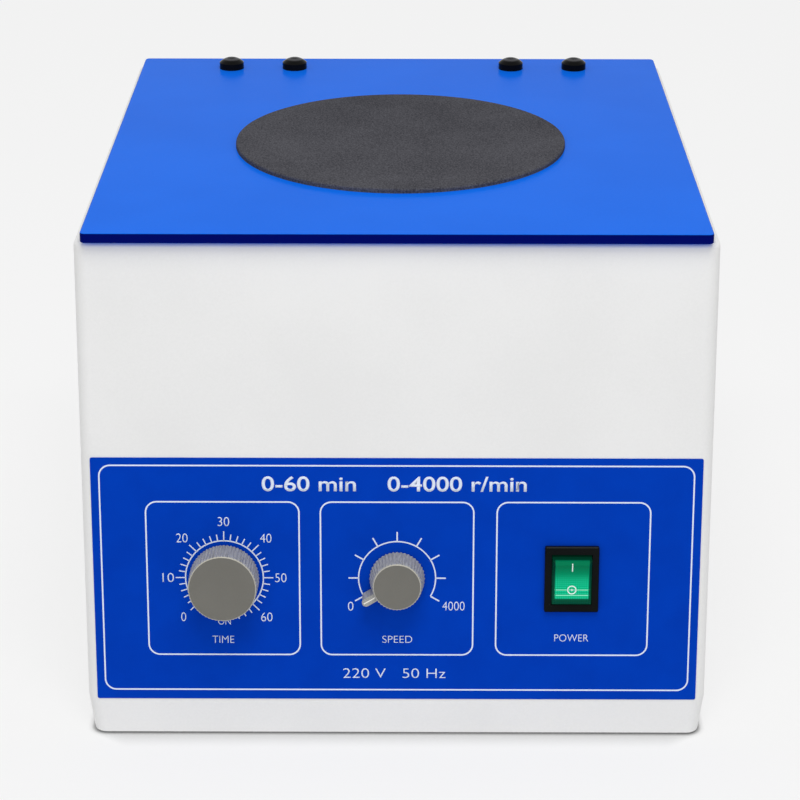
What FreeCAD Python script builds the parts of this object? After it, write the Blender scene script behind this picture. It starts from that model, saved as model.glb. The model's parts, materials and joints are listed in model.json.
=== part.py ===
import FreeCAD, Part
import math
import os
from FreeCAD import Vector

# Bench-top butterfat centrifuge, built from its separate pieces.
#
# All sizes are in millimetres and angles in degrees.  While the pieces are made, X runs to
# the right, Y from the front to the back with 0 at the lid's front edge, and Z up with 0 on
# the bench.  main() then moves the whole part so that its origin is the middle of its
# footprint on the bench.

# --- cabinet -------------------------------------------------------------------------------
CABINET_WIDTH = 296.0
CABINET_TOP = 238.7            # height of the top face above the bench
SHEET = 1.2                    # painted sheet steel
PANEL_LEAN = 7.0               # the front face leans out towards its foot
CORNER_RADIUS = 6.0            # upright corners
TOP_EDGE_RADIUS = 2.2
PLINTH_TOP = 18.0              # below this the side and rear walls tuck in
PLINTH_TUCK = 2.6
SKIRT_GAP = 1.0                # from the bench to the skirt

# --- lid -----------------------------------------------------------------------------------
LID_WIDTH = 288.0
LID_THICKNESS = 4.8
LID_CORNER = 2.5
LID_EDGE = 0.4                 # small bevel along the plate's edges
LID_GAP = 1.5                  # between the cabinet's top and the lid
LID_OVERHANG = 4.0             # in front of the cabinet's top edge
REAR_MARGIN = 10.0             # cabinet top behind the lid's rear edge
PAD_RADIUS = 83.0
PAD_THICKNESS = 2.4
PAD_EDGE = 0.9
PAD_OFFSET = 1.2               # pad to the right of the rotor's axis

# --- hinges --------------------------------------------------------------------------------
HINGE_CENTRES = (-76.2, 79.9)
HINGE_BOLT_PITCH = 35.2
HINGE_BOLT_INSET = 20.8        # bolts ahead of the lid's rear edge
HINGE_LENGTH = 50.0
LEAF_THICKNESS = 1.2
LEAF_BEYOND_BOLT = 9.0
FIXED_LEAF_DROP = 26.0
HINGE_SCREW_LIFT = 10.0        # screws above the fixed leaf's foot
KNUCKLE_RADIUS = 2.5
KNUCKLE_COUNT = 5
KNUCKLE_PLAY = 0.3
PIN_RADIUS = 1.25
PIN_HEAD_RADIUS = 1.9
PIN_HEAD_LENGTH = 1.2
RUNNING_PLAY = 0.06            # radial clearance of a pin or shaft that turns
SWING_PLAY = 0.3               # between pieces that move past each other
LID_BOLT_RADIUS = 2.0
LID_BOLT_HEAD = 3.8
LID_BOLT_HEAD_HEIGHT = 1.9
CAP_RADIUS = 6.75
CAP_HEIGHT = 6.2
CAP_SKIRT = 3.4
CAP_BORE_DEPTH = 3.6

# --- front panel ---------------------------------------------------------------------------
OVERLAY_WIDTH = 286.4
OVERLAY_HEIGHT = 120.6
OVERLAY_TOP = 101.7            # down the slope from the cabinet's top edge
OVERLAY_THICKNESS = 0.3
OVERLAY_CORNER = 1.0
CONTROL_LINE = 160.9           # all three controls, down the slope
TIMER_X = -81.3
SPEED_X = 0.3
SWITCH_X = 82.7

# --- knobs ---------------------------------------------------------------------------------
SHAFT_RADIUS = 3.0
SHAFT_FLAT = 1.5               # depth of the D flat
KNOB_GAP = 0.5                 # from the overlay to the knob's rim
KNOB_FACE = 2.6                # thickness of a knob's face
KNOB_WALL = 2.4
KNOB_BOSS_RADIUS = 6.0
KNOB_BEVEL = 0.8
SHAFT_INSIDE = 8.0             # shaft behind the panel sheet
FLUTE_DEPTH = 0.45
TIMER_KNOB_BASE = 16.5
TIMER_KNOB_TOP = 16.2
TIMER_KNOB_HEIGHT = 15.6
TIMER_KNOB_FLUTES = 60
SPEED_KNOB_BASE = 13.2
SPEED_KNOB_TOP = 11.6
SPEED_KNOB_HEIGHT = 12.6
SPEED_KNOB_FLUTES = 44
POINTER_REACH = 18.9
POINTER_WIDTH = 3.8
POINTER_HEIGHT = 9.6
POINTER_ANGLE = 211.0          # where the speed pointer rests, counter-clockwise from +X

# --- timer and speed control ---------------------------------------------------------------
TIMER_CASE = 48.0
TIMER_CASE_CORNER = 7.0
TIMER_CASE_DEPTH = 36.0
TIMER_BUSH_RADIUS = 5.0
TIMER_NUT_FLATS = 14.0
SPEED_CAN_RADIUS = 12.0
SPEED_CAN_DEPTH = 11.0
SPEED_BUSH_RADIUS = 4.6
SPEED_NUT_FLATS = 12.0
NUT_THICKNESS = 2.2
BUSH_BEYOND_NUT = 1.0
HOLE_PLAY = 0.2                # radial, round a bush or screw in a sheet
TERMINAL_WIDTH = 4.8
TERMINAL_LENGTH = 9.0
TERMINAL_THICKNESS = 0.8
TERMINAL_PITCH = 10.0

# --- rocker switch -------------------------------------------------------------------------
BEZEL_WIDTH = 25.6
BEZEL_HEIGHT = 32.6
BEZEL_THICKNESS = 2.2
BEZEL_CORNER = 0.8
BEZEL_BEVEL = 0.5
BEZEL_OPENING_WIDTH = 19.2
BEZEL_OPENING_HEIGHT = 25.0
SWITCH_BODY_WIDTH = 22.0
SWITCH_BODY_HEIGHT = 28.0
SWITCH_BODY_DEPTH = 20.0
SWITCH_WELL = 12.5             # depth of the rocker's well from the bezel's face
ROCKER_PLAY = 0.35
ROCKER_SWING = 14.0            # from OFF to ON
ROCKER_PIVOT_DEPTH = 4.2       # pivot below the bezel's face
ROCKER_CROWN = 3.4             # rocker's ends above the bezel's face, midway between ON and OFF
ROCKER_DISH = 1.5              # hollow of the rocker's face
ROCKER_BODY = 5.5              # rocker below its pivot
ROCKER_PIN_RADIUS = 1.2
ROCKER_PIN_REACH = 1.0         # pivot hole into the well's side walls
ROCKER_NARROWING = 1.0         # ends drawn in at the face, so that they clear as it rocks
ROCKER_BEVEL = 1.5             # round the rocker's face
ROCKER_SWAY = 0.2

# --- chamber -------------------------------------------------------------------------------
BOWL_RADIUS = 117.5            # inside, at its top
BOWL_TAPER = 3.5               # its floor's radius is less by this
MOUTH_INSET = 1.5              # bowl inside the edge of the hole in the cabinet's top
FLANGE_TO_FRONT = 11.9         # bowl's flange behind the front face's top edge
BOWL_DEPTH = 113.0
BOWL_WALL = 0.8
BOWL_FLANGE = 9.0
BOWL_CORNER = 14.0
BOWL_HOLE_RADIUS = 22.0
GASKET_INSET = 2.5             # gasket outside the mouth's edge
GASKET_WIDTH = 6.0
GASKET_CLEARANCE = 0.2         # below the closed lid
GASKET_TO_LEAF = 8.3           # from the gasket back to the hinge leaves under the lid

# --- rotor ---------------------------------------------------------------------------------
TUBE_COUNT = 8
TUBE_TILT = 30.0               # from the upright
TUBE_MOUTH_CIRCLE = 56.0       # radius of the circle of mouths
TUBE_MOUTH_HEIGHT = 204.0
SLEEVE_BORE = 11.2
SLEEVE_WALL = 0.9
SLEEVE_LENGTH = 76.0
SLEEVE_COLLAR = 15.0
SLEEVE_COLLAR_HEIGHT = 2.0
SLEEVE_PLAY = 0.2
DISH_THICKNESS = 5.0
DISH_BEYOND_MOUTH = 18.5       # dish rim outside the mouths, along the slope
ROTOR_SKIRT_LENGTH = 60.0
ROTOR_SKIRT_WALL = 3.0
ROTOR_HUB_RADIUS = 14.0
ROTOR_HUB_BOTTOM = 142.0
ROTOR_HUB_TOP = 196.0
SPINDLE_RADIUS = 4.0
SPINDLE_TOP = 204.0
SPINDLE_BEVEL = 0.6
ROTOR_WASHER_RADIUS = 11.0
ROTOR_WASHER_THICKNESS = 1.5
ROTOR_NUT_FLATS = 17.0
ROTOR_NUT_HEIGHT = 7.0
ROTOR_NUT_DOME = 5.0

# --- motor ---------------------------------------------------------------------------------
TRAY_THICKNESS = 1.5
TRAY_CLEARANCE = 0.3           # tray above the plinth's fold
TRAY_FLANGE = 11.0
TRAY_END_CUT = 14.0            # flanges stop short of the cabinet's corners
TRAY_FRONT_GAP = 0.5
TRAY_SCREW_SHARES = (0.2, 0.5, 0.8)
TRAY_REAR_SCREW_X = 90.0
TRAY_VENTS = 5
TRAY_VENT_LENGTH = 60.0
TRAY_VENT_WIDTH = 5.0
TRAY_VENT_PITCH = 12.0
DAMPER_RADIUS = 8.0
DAMPER_WAIST = 6.2
DAMPER_HEIGHT = 14.0
DAMPER_SPAN = 92.0
DAMPER_SCREW = 7.0
MOTOR_PLATE = 116.0
MOTOR_PLATE_CORNER = 10.0
MOTOR_PLATE_THICKNESS = 2.5
MOTOR_SCREW_CIRCLE = 28.0      # radius
MOTOR_RADIUS = 44.0
MOTOR_CAN_WALL = 2.0
MOTOR_CAN_HEIGHT = 54.0
BELL_HEIGHT = 9.0
BELL_WALL = 3.0
BEARING_RADIUS = 11.0
BEARING_WIDTH = 7.0
NECK_RADIUS = 15.0
NECK_HEIGHT = 9.0
STATOR_HEIGHT = 38.0
STATOR_BORE = 26.0
STATOR_LIFT = 8.0              # above the can's lower edge
AIR_GAP = 0.6
ARMATURE_SLOTS = 12
ARMATURE_SLOT_WIDTH = 3.0
ARMATURE_SLOT_DEPTH = 7.0
COMMUTATOR_RADIUS = 10.0
COMMUTATOR_HEIGHT = 9.0
COMMUTATOR_GAP = 2.0
BRUSH_LENGTH = 18.0
BRUSH_WIDTH = 6.0
BOOT_WALL = 1.6
BOOT_ROOM = 2.0                # round the motor's neck
BOOT_LAP = 6.0                 # under the bowl's floor

# --- feet and screws -----------------------------------------------------------------------
FOOT_RADIUS = 14.0
FOOT_BASE_RADIUS = 12.0
FOOT_INSET_X = 26.0            # foot centres in from the cabinet's sides
FOOT_INSET_Y = 30.0
FOOT_BEVEL = 1.0
FOOT_SCREW = 12.0
SCREW_RADIUS = 2.0
SCREW_HEAD_RADIUS = 3.8
SCREW_HEAD_HEIGHT = 2.3
SCREW_LENGTH = 8.0
SCREW_SLOT_WIDTH = 0.9
SCREW_SLOT_DEPTH = 1.0

# --- rear cover and inlet ------------------------------------------------------------------
REAR_COVER_WIDTH = 252.0
REAR_COVER_HEIGHT = 168.0
REAR_COVER_BOTTOM = 34.0
REAR_COVER_CORNER = 6.0
REAR_LAP = 10.0                # cover over the edge of the cabinet's rear opening
REAR_SCREW_INSET = 5.0
VENT_ROWS = 8
VENT_COLUMNS = 2
VENT_LENGTH = 56.0
VENT_WIDTH = 3.4
VENT_PITCH = 8.5
VENT_GAP = 14.0                # between the two columns
VENT_BOTTOM = 96.0
INLET_INSET = 42.0             # inlet's centre in from the cover's side
INLET_Z = 62.0
INLET_EARS = 50.0
INLET_EAR_SHARE = 0.45         # height of an ear's end against the flange's height
INLET_EAR_ROUND = 3.0
INLET_HEIGHT = 25.0
INLET_FLANGE = 3.0
INLET_SCREW_PITCH = 40.0
INLET_BODY_WIDTH = 28.0
INLET_BODY_HEIGHT = 20.6
INLET_BODY_DEPTH = 22.0
INLET_CAVITY_WIDTH = 24.4
INLET_CAVITY_HEIGHT = 16.4
INLET_CAVITY_DEPTH = 16.0
INLET_CAVITY_CUT = 4.0         # the cavity's two clipped corners
INLET_PIN_PITCH = 7.0
INLET_PIN_DROP = 2.0
INLET_PIN_LIFT = 2.0           # the earth pin stands above the other two
INLET_PIN_RECESS = 3.0         # pins' tips behind the flange's face
INLET_PIN_WIDTH = 4.0
INLET_PIN_THICKNESS = 2.0
FUSE_SPACING = 48.0            # from the inlet's centre
FUSE_CAP_RADIUS = 8.0
FUSE_CAP_HEIGHT = 8.0
FUSE_RIM = 1.0                 # step round the cap's foot
FUSE_BODY_RADIUS = 6.2
FUSE_BODY_DEPTH = 30.0

# --- control board -------------------------------------------------------------------------
BOARD_WIDTH = 96.0
BOARD_DEPTH = 66.0
BOARD_THICKNESS = 1.6
BOARD_SIDE_GAP = 28.0          # from the cabinet's left side
BOARD_REAR_GAP = 23.0          # from the cabinet's rear face
BOARD_HOLE_INSET = 5.0
STANDOFF_RADIUS = 3.0
STANDOFF_HEIGHT = 9.0
BOARD_SCREW_RADIUS = 1.5
BOARD_SCREW_LENGTH = 7.0
CAPACITOR_RADIUS = 9.0
CAPACITOR_HEIGHT = 26.0
CAPACITOR_X = -30.0            # places on the board are from its middle
CAPACITOR_Y = 3.0              # middle of the pair
CAPACITOR_PITCH = 22.0
RELAY = (16.0, 20.0, 15.0)     # width, depth and height of the board's block parts
RELAY_PLACE = (-8.0, -9.0)
TRANSFORMER = (30.0, 24.0, 22.0)
TRANSFORMER_PLACE = (-2.0, 14.0)
TERMINAL_STRIP = (46.0, 9.0, 11.0)
STRIP_PLACE = (14.0, -24.0)
TERMINAL_CELLS = 5
TERMINAL_CELL_RADIUS = 2.0
TERMINAL_CELL_PITCH = 9.0
HEAT_SINK_RUN = 36.0
HEAT_SINK_BASE = 3.0
HEAT_SINK_FIN_LENGTH = 14.0
HEAT_SINK_INSET = 12.0         # from the board's right edge
HEAT_SINK_Y = 8.0
HEAT_SINK_HEIGHT = 24.0
HEAT_SINK_FINS = 9
HEAT_SINK_FIN = 1.4

# --- sizes that follow from those above ----------------------------------------------------
LEAN = math.radians(PANEL_LEAN)
FRONT_TOP_Y = LID_OVERHANG
BOWL_FLOOR_RADIUS = BOWL_RADIUS - BOWL_TAPER
MOUTH_RADIUS = BOWL_RADIUS + MOUTH_INSET
GASKET_INNER = MOUTH_RADIUS + GASKET_INSET
GASKET_OUTER = GASKET_INNER + GASKET_WIDTH
ROTOR_Y = FRONT_TOP_Y + FLANGE_TO_FRONT + BOWL_FLANGE + BOWL_RADIUS
LEAF_FRONT = ROTOR_Y + GASKET_OUTER + GASKET_TO_LEAF
HINGE_BOLT_Y = LEAF_FRONT + LEAF_BEYOND_BOLT
LID_DEPTH = HINGE_BOLT_Y + HINGE_BOLT_INSET
CABINET_REAR = LID_DEPTH + REAR_MARGIN
LID_BOTTOM = CABINET_TOP + LID_GAP
LID_TOP = LID_BOTTOM + LID_THICKNESS
TRAY_BOTTOM = PLINTH_TOP + TRAY_CLEARANCE
TRAY_TOP = TRAY_BOTTOM + TRAY_THICKNESS
MOTOR_PLATE_BOTTOM = TRAY_TOP + DAMPER_HEIGHT
MOTOR_BOTTOM = MOTOR_PLATE_BOTTOM + MOTOR_PLATE_THICKNESS
MOTOR_CAN_BOTTOM = MOTOR_BOTTOM + BELL_HEIGHT
MOTOR_CAN_TOP = MOTOR_CAN_BOTTOM + MOTOR_CAN_HEIGHT
MOTOR_TOP = MOTOR_CAN_TOP + BELL_HEIGHT
BOWL_TOP = CABINET_TOP - SHEET
BOWL_FLOOR = BOWL_TOP - BOWL_DEPTH
KNUCKLE_Y = CABINET_REAR + KNUCKLE_RADIUS + KNUCKLE_PLAY
LEAF_BOTTOM = LID_BOTTOM - LEAF_THICKNESS
KNUCKLE_Z = LID_BOTTOM - KNUCKLE_RADIUS
REAR_FACE = CABINET_REAR + SHEET
INLET_X = REAR_COVER_WIDTH / 2 - INLET_INSET
FUSE_X = INLET_X - FUSE_SPACING
BOARD_X = BOARD_SIDE_GAP + BOARD_WIDTH / 2 - CABINET_WIDTH / 2
BOARD_Y = CABINET_REAR - BOARD_REAR_GAP - BOARD_DEPTH / 2
SLEEVE_OUTER = SLEEVE_BORE + SLEEVE_WALL
BIG = 1000.0


# --- helpers -------------------------------------------------------------------------------
def front_y(z):
    """Y of the cabinet's front face at height z."""
    return FRONT_TOP_Y - (CABINET_TOP - z) * math.tan(LEAN)


def cylinder(radius, height, base=Vector(0, 0, 0), axis=Vector(0, 0, 1)):
    return Part.makeCylinder(radius, height, base, axis)


def box(x_size, y_size, z_size, centre_x=0.0, centre_y=0.0, bottom=0.0):
    """Box centred on X and Y that stands on the height given."""
    corner = Vector(centre_x - x_size / 2, centre_y - y_size / 2, bottom)
    return Part.makeBox(x_size, y_size, z_size, corner)


def polygon(points):
    return Part.makePolygon([Vector(*p) for p in points] + [Vector(*points[0])])


def prism(points, direction):
    return Part.Face(polygon(points)).extrude(direction)


def rounded_plate(x_size, y_size, thickness, radius):
    """Plate with rounded corners, centred on X and Y, standing on Z = 0."""
    plate = box(x_size, y_size, thickness)
    uprights = [e for e in plate.Edges if abs(e.tangentAt(e.FirstParameter).z) > 0.9]
    return plate.makeFillet(radius, uprights)


def revolved(outline, centre=Vector(0, 0, 0)):
    """Solid of revolution about Z from (radius, height) points."""
    face = Part.Face(polygon([(r, 0, z) for r, z in outline]))
    solid = face.revolve(Vector(0, 0, 0), Vector(0, 0, 1), 360)
    solid.translate(centre)
    return solid


def moved(shape, x=0.0, y=0.0, z=0.0):
    copy = shape.copy()
    copy.translate(Vector(x, y, z))
    return copy


def turned(shape, angle, axis=Vector(0, 0, 1), centre=Vector(0, 0, 0)):
    copy = shape.copy()
    copy.rotate(centre, axis, angle)
    return copy


def fused(shapes):
    first, *rest = shapes
    return first.fuse(rest).removeSplitter() if rest else first


def group(shapes):
    return Part.makeCompound(shapes)


def hex_prism(across_flats, height):
    radius = across_flats / math.sqrt(3)
    corners = [math.radians(60 * i) for i in range(6)]
    outline = [(radius * math.cos(a), radius * math.sin(a), 0) for a in corners]
    return prism(outline, Vector(0, 0, height))


def on_panel(shape, x, down):
    """Place a shape on the leaning front face.

    The shape is modelled with +Z out of the face and +Y up the slope; down is the distance
    from the cabinet's top edge along the slope.
    """
    copy = shape.copy()
    copy.rotate(Vector(0, 0, 0), Vector(1, 0, 0), 90 - PANEL_LEAN)
    y = FRONT_TOP_Y - down * math.sin(LEAN)
    z = CABINET_TOP - down * math.cos(LEAN)
    copy.translate(Vector(x, y, z))
    return copy


def on_rear(shape, x, z, face=CABINET_REAR):
    """Place a shape modelled with +Z out of the rear wall and +Y up."""
    copy = shape.copy()
    copy.rotate(Vector(0, 0, 0), Vector(1, 0, 0), 90)
    copy.rotate(Vector(0, 0, 0), Vector(0, 0, 1), 180)
    copy.translate(Vector(x, face, z))
    return copy


def on_rotor_axis(shape, z=0.0):
    return moved(shape, 0, ROTOR_Y, z)


def pan_screw(length=SCREW_LENGTH, radius=SCREW_RADIUS, head=SCREW_HEAD_RADIUS):
    """Pan-head screw with its head above Z = 0, its shank below and a cross slot."""
    dome = [(0, 0), (head, 0), (head, SCREW_HEAD_HEIGHT / 2),
            (head * 0.75, SCREW_HEAD_HEIGHT), (0, SCREW_HEAD_HEIGHT)]
    screw = revolved(dome).fuse(cylinder(radius, length, Vector(0, 0, -length)))
    for angle in (0, 90):
        slot = box(head, SCREW_SLOT_WIDTH, SCREW_SLOT_DEPTH,
                   bottom=SCREW_HEAD_HEIGHT - SCREW_SLOT_DEPTH)
        screw = screw.cut(turned(slot, angle))
    return screw


# --- cabinet -------------------------------------------------------------------------------
def cabinet_block(inset=0.0):
    """Outer form of the cabinet, or of its inside when inset by the sheet's thickness."""
    lean_inset = inset / math.cos(LEAN)
    half = CABINET_WIDTH / 2 - inset
    top = CABINET_TOP - inset
    bottom = SKIRT_GAP
    rear = CABINET_REAR - inset
    side_view = [(-half, front_y(top) + lean_inset, top),
                 (-half, front_y(bottom) + lean_inset, bottom),
                 (-half, rear - PLINTH_TUCK, bottom), (-half, rear, PLINTH_TOP),
                 (-half, rear, top)]
    front_view = [(-half, -BIG, top), (-half, -BIG, PLINTH_TOP),
                  (PLINTH_TUCK - half, -BIG, bottom), (half - PLINTH_TUCK, -BIG, bottom),
                  (half, -BIG, PLINTH_TOP), (half, -BIG, top)]
    along = prism(side_view, Vector(2 * half, 0, 0))
    across = prism(front_view, Vector(0, 2 * BIG, 0))
    block = along.common(across).removeSplitter()
    uprights = [e for e in block.Edges if is_corner_edge(e)]
    block = block.makeFillet(CORNER_RADIUS - inset, uprights)
    top_edges = [e for e in block.Edges if abs(e.BoundBox.ZMin - top) < 0.01]
    return block.makeFillet(TOP_EDGE_RADIUS - inset, top_edges)


def is_corner_edge(edge):
    """True for the edges that run up the cabinet's corners."""
    box_of_edge = edge.BoundBox
    level = box_of_edge.ZMax - box_of_edge.ZMin
    return level > max(box_of_edge.XLength, box_of_edge.YLength)


def rear_opening(depth):
    """The cabinet's rear opening, which the cover laps all round."""
    plate = rounded_plate(REAR_COVER_WIDTH - 2 * REAR_LAP, REAR_COVER_HEIGHT - 2 * REAR_LAP,
                          depth, REAR_COVER_CORNER)
    return moved(plate, z=-depth / 2)


def rear_cover_centre():
    return REAR_COVER_BOTTOM + REAR_COVER_HEIGHT / 2


def rear_screw_places():
    side = REAR_COVER_WIDTH / 2 - REAR_SCREW_INSET
    low = REAR_COVER_BOTTOM + REAR_SCREW_INSET
    high = REAR_COVER_BOTTOM + REAR_COVER_HEIGHT - REAR_SCREW_INSET
    rows = [(low, (-side, 0, side)), (rear_cover_centre(), (-side, side)),
            (high, (-side, 0, side))]
    return [(x, z) for z, row in rows for x in row]


def tray_screw_places():
    """Where the tray's screws pass the walls, with the way that each head faces."""
    z = TRAY_TOP + TRAY_FLANGE / 2
    front = front_y(z)
    side = CABINET_WIDTH / 2
    places = []
    for share in TRAY_SCREW_SHARES:
        y = front + (CABINET_REAR - front) * share
        places.append((Vector(-side, y, z), Vector(-1, 0, 0)))
        places.append((Vector(side, y, z), Vector(1, 0, 0)))
    for x in (-TRAY_REAR_SCREW_X, TRAY_REAR_SCREW_X):
        places.append((Vector(x, CABINET_REAR, z), Vector(0, 1, 0)))
    return places


def panel_holes(depth, centre=0.0):
    """Tools that cut the three controls' openings through the front."""
    bottom = centre - depth / 2
    timer = cylinder(TIMER_BUSH_RADIUS + HOLE_PLAY, depth, Vector(0, 0, bottom))
    speed = cylinder(SPEED_BUSH_RADIUS + HOLE_PLAY, depth, Vector(0, 0, bottom))
    switch = box(SWITCH_BODY_WIDTH + 2 * HOLE_PLAY, SWITCH_BODY_HEIGHT + 2 * HOLE_PLAY, depth,
                 bottom=bottom)
    return [on_panel(timer, TIMER_X, CONTROL_LINE), on_panel(speed, SPEED_X, CONTROL_LINE),
            on_panel(switch, SWITCH_X, CONTROL_LINE)]


def cabinet_shell():
    shell = cabinet_block().cut(cabinet_block(SHEET))
    mouth = on_rotor_axis(cylinder(MOUTH_RADIUS, 4 * SHEET), CABINET_TOP - 2 * SHEET)
    opening = on_rear(rear_opening(4 * SHEET), 0, rear_cover_centre())
    tools = [mouth, opening] + panel_holes(8 * SHEET)
    tools += screw_holes([(Vector(x, CABINET_REAR, z), Vector(0, 1, 0))
                          for x, z in rear_screw_places() + hinge_screw_places()])
    tools += screw_holes(tray_screw_places())
    return shell.cut(tools)


def screw_holes(places, radius=SCREW_RADIUS + HOLE_PLAY, reach=3 * SHEET):
    """Drills to both sides of each place, along the way that its screw's head faces."""
    return [cylinder(radius, 2 * reach, place - reach * facing, facing)
            for place, facing in places]


def pan_screws(places, length=SCREW_LENGTH):
    """Pan-head screws with their heads seated at each place."""
    screw = pan_screw(length)
    return group([facing_copy(screw, place, facing) for place, facing in places])


def facing_copy(shape, place, facing):
    """Copy of a shape made along +Z, turned to face the way given and moved to its place."""
    copy = shape.copy()
    copy.Placement = FreeCAD.Placement(place, FreeCAD.Rotation(Vector(0, 0, 1), facing))
    return copy


# --- base ----------------------------------------------------------------------------------
def base_tray():
    """Flat floor with turned-up flanges at both sides and the rear."""
    side = CABINET_WIDTH / 2 - SHEET
    rear = CABINET_REAR - SHEET
    front = front_y(TRAY_BOTTOM) + SHEET / math.cos(LEAN) + TRAY_FRONT_GAP
    depth = rear - front
    middle = (rear + front) / 2
    floor = moved(rounded_plate(2 * side, depth, TRAY_THICKNESS, CORNER_RADIUS), 0, middle)
    run = depth - 2 * TRAY_END_CUT
    height = TRAY_FLANGE + TRAY_THICKNESS
    pieces = [floor]
    for x in (TRAY_THICKNESS / 2 - side, side - TRAY_THICKNESS / 2):
        pieces.append(box(TRAY_THICKNESS, run, height, x, middle))
    pieces.append(box(2 * (side - TRAY_END_CUT), TRAY_THICKNESS, height, 0,
                      rear - TRAY_THICKNESS / 2))
    tray = moved(fused(pieces), z=TRAY_BOTTOM)
    floor_screws = [(Vector(x, y, TRAY_TOP), Vector(0, 0, 1))
                    for x, y in foot_places() + damper_places()]
    return tray.cut(screw_holes(tray_screw_places()) + screw_holes(floor_screws) + tray_vents())


def tray_vents():
    """Slots under the motor that let the cooling air in."""
    slot = rounded_plate(TRAY_VENT_LENGTH, TRAY_VENT_WIDTH, 4 * TRAY_THICKNESS,
                         TRAY_VENT_WIDTH / 2 - 0.01)
    first = -(TRAY_VENTS - 1) / 2
    return [moved(slot, 0, ROTOR_Y + (first + i) * TRAY_VENT_PITCH, TRAY_BOTTOM - TRAY_THICKNESS)
            for i in range(TRAY_VENTS)]


def foot_places():
    front = front_y(TRAY_BOTTOM) + FOOT_INSET_Y
    rear = CABINET_REAR - FOOT_INSET_Y
    side = CABINET_WIDTH / 2 - FOOT_INSET_X
    return [(x, y) for x in (-side, side) for y in (front, rear)]


def rubber_feet():
    """Tapered feet that stand in the skirt and carry the tray."""
    foot = revolved([(0, 0), (FOOT_BASE_RADIUS - FOOT_BEVEL, 0), (FOOT_BASE_RADIUS, FOOT_BEVEL),
                     (FOOT_RADIUS, TRAY_BOTTOM), (0, TRAY_BOTTOM)])
    screw_hole = cylinder(SCREW_RADIUS, FOOT_SCREW - TRAY_THICKNESS,
                          Vector(0, 0, TRAY_TOP - FOOT_SCREW))
    foot = foot.cut(screw_hole)
    return group([moved(foot, x, y) for x, y in foot_places()])


def foot_screws():
    places = [(Vector(x, y, TRAY_TOP), Vector(0, 0, 1)) for x, y in foot_places()]
    return pan_screws(places, FOOT_SCREW)


def tray_screws():
    return pan_screws(tray_screw_places())


# --- motor ---------------------------------------------------------------------------------
def damper_places():
    half = DAMPER_SPAN / 2
    return [(x, ROTOR_Y + y) for x in (-half, half) for y in (-half, half)]


def motor_dampers():
    """Waisted rubber mounts between the tray and the motor's plate."""
    start = Vector(DAMPER_RADIUS, 0, 0)
    waist = Vector(DAMPER_WAIST, 0, DAMPER_HEIGHT / 2)
    end = Vector(DAMPER_RADIUS, 0, DAMPER_HEIGHT)
    side = Part.Arc(start, waist, end).toShape()
    rest = Part.makePolygon([end, Vector(0, 0, DAMPER_HEIGHT), Vector(0, 0, 0), start])
    face = Part.Face(Part.Wire([side] + rest.Edges))
    damper = face.revolve(Vector(0, 0, 0), Vector(0, 0, 1), 360)
    damper = damper.cut(cylinder(SCREW_RADIUS, DAMPER_HEIGHT))
    return group([moved(damper, x, y, TRAY_TOP) for x, y in damper_places()])


def damper_screws():
    """One screw up through the tray and one down through the plate for each damper."""
    places = []
    for x, y in damper_places():
        places.append((Vector(x, y, TRAY_BOTTOM), Vector(0, 0, -1)))
        places.append((Vector(x, y, MOTOR_BOTTOM), Vector(0, 0, 1)))
    return pan_screws(places, DAMPER_SCREW)


def motor_screw_places():
    places = []
    for i in range(4):
        angle = math.radians(90 * i)
        x = MOTOR_SCREW_CIRCLE * math.cos(angle)
        y = MOTOR_SCREW_CIRCLE * math.sin(angle)
        places.append((Vector(x, ROTOR_Y + y, MOTOR_PLATE_BOTTOM), Vector(0, 0, -1)))
    return places


def motor_plate():
    plate = rounded_plate(MOTOR_PLATE, MOTOR_PLATE, MOTOR_PLATE_THICKNESS, MOTOR_PLATE_CORNER)
    plate = on_rotor_axis(plate, MOTOR_PLATE_BOTTOM)
    drills = screw_holes(motor_screw_places())
    drills += screw_holes([(Vector(x, y, MOTOR_BOTTOM), Vector(0, 0, 1))
                           for x, y in damper_places()])
    drills.append(on_rotor_axis(cylinder(BEARING_RADIUS, 2 * MOTOR_PLATE),
                                MOTOR_PLATE_BOTTOM - MOTOR_PLATE))
    return plate.cut(drills)


def motor_screws():
    return pan_screws(motor_screw_places(), MOTOR_PLATE_THICKNESS + BELL_WALL)


def motor_lower_bell():
    """End bell with its bearing seat inside."""
    inner = MOTOR_RADIUS - BELL_WALL
    lower = revolved([(BEARING_RADIUS, 0), (MOTOR_RADIUS, 0), (MOTOR_RADIUS, BELL_HEIGHT),
                      (inner, BELL_HEIGHT), (inner, BELL_WALL), (NECK_RADIUS, BELL_WALL),
                      (NECK_RADIUS, BEARING_WIDTH), (BEARING_RADIUS, BEARING_WIDTH)])
    threads = screw_holes(motor_screw_places(), SCREW_RADIUS, MOTOR_PLATE_THICKNESS + BELL_WALL)
    return on_rotor_axis(lower, MOTOR_BOTTOM).cut(threads)


def motor_upper_bell():
    """End bell with its bearing seat in a neck on top."""
    inner = MOTOR_RADIUS - BELL_WALL
    under = BELL_HEIGHT - BELL_WALL
    neck = BELL_HEIGHT + NECK_HEIGHT
    upper = revolved([(BEARING_RADIUS, under), (inner, under), (inner, 0), (MOTOR_RADIUS, 0),
                      (MOTOR_RADIUS, BELL_HEIGHT), (NECK_RADIUS, BELL_HEIGHT),
                      (NECK_RADIUS, neck), (BEARING_RADIUS, neck)])
    return on_rotor_axis(upper, MOTOR_CAN_TOP)


def motor_can():
    can = cylinder(MOTOR_RADIUS, MOTOR_CAN_HEIGHT)
    bore = cylinder(MOTOR_RADIUS - MOTOR_CAN_WALL, MOTOR_CAN_HEIGHT)
    return on_rotor_axis(can.cut(bore), MOTOR_CAN_BOTTOM)


def stator_bottom():
    return MOTOR_CAN_BOTTOM + STATOR_LIFT


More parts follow.
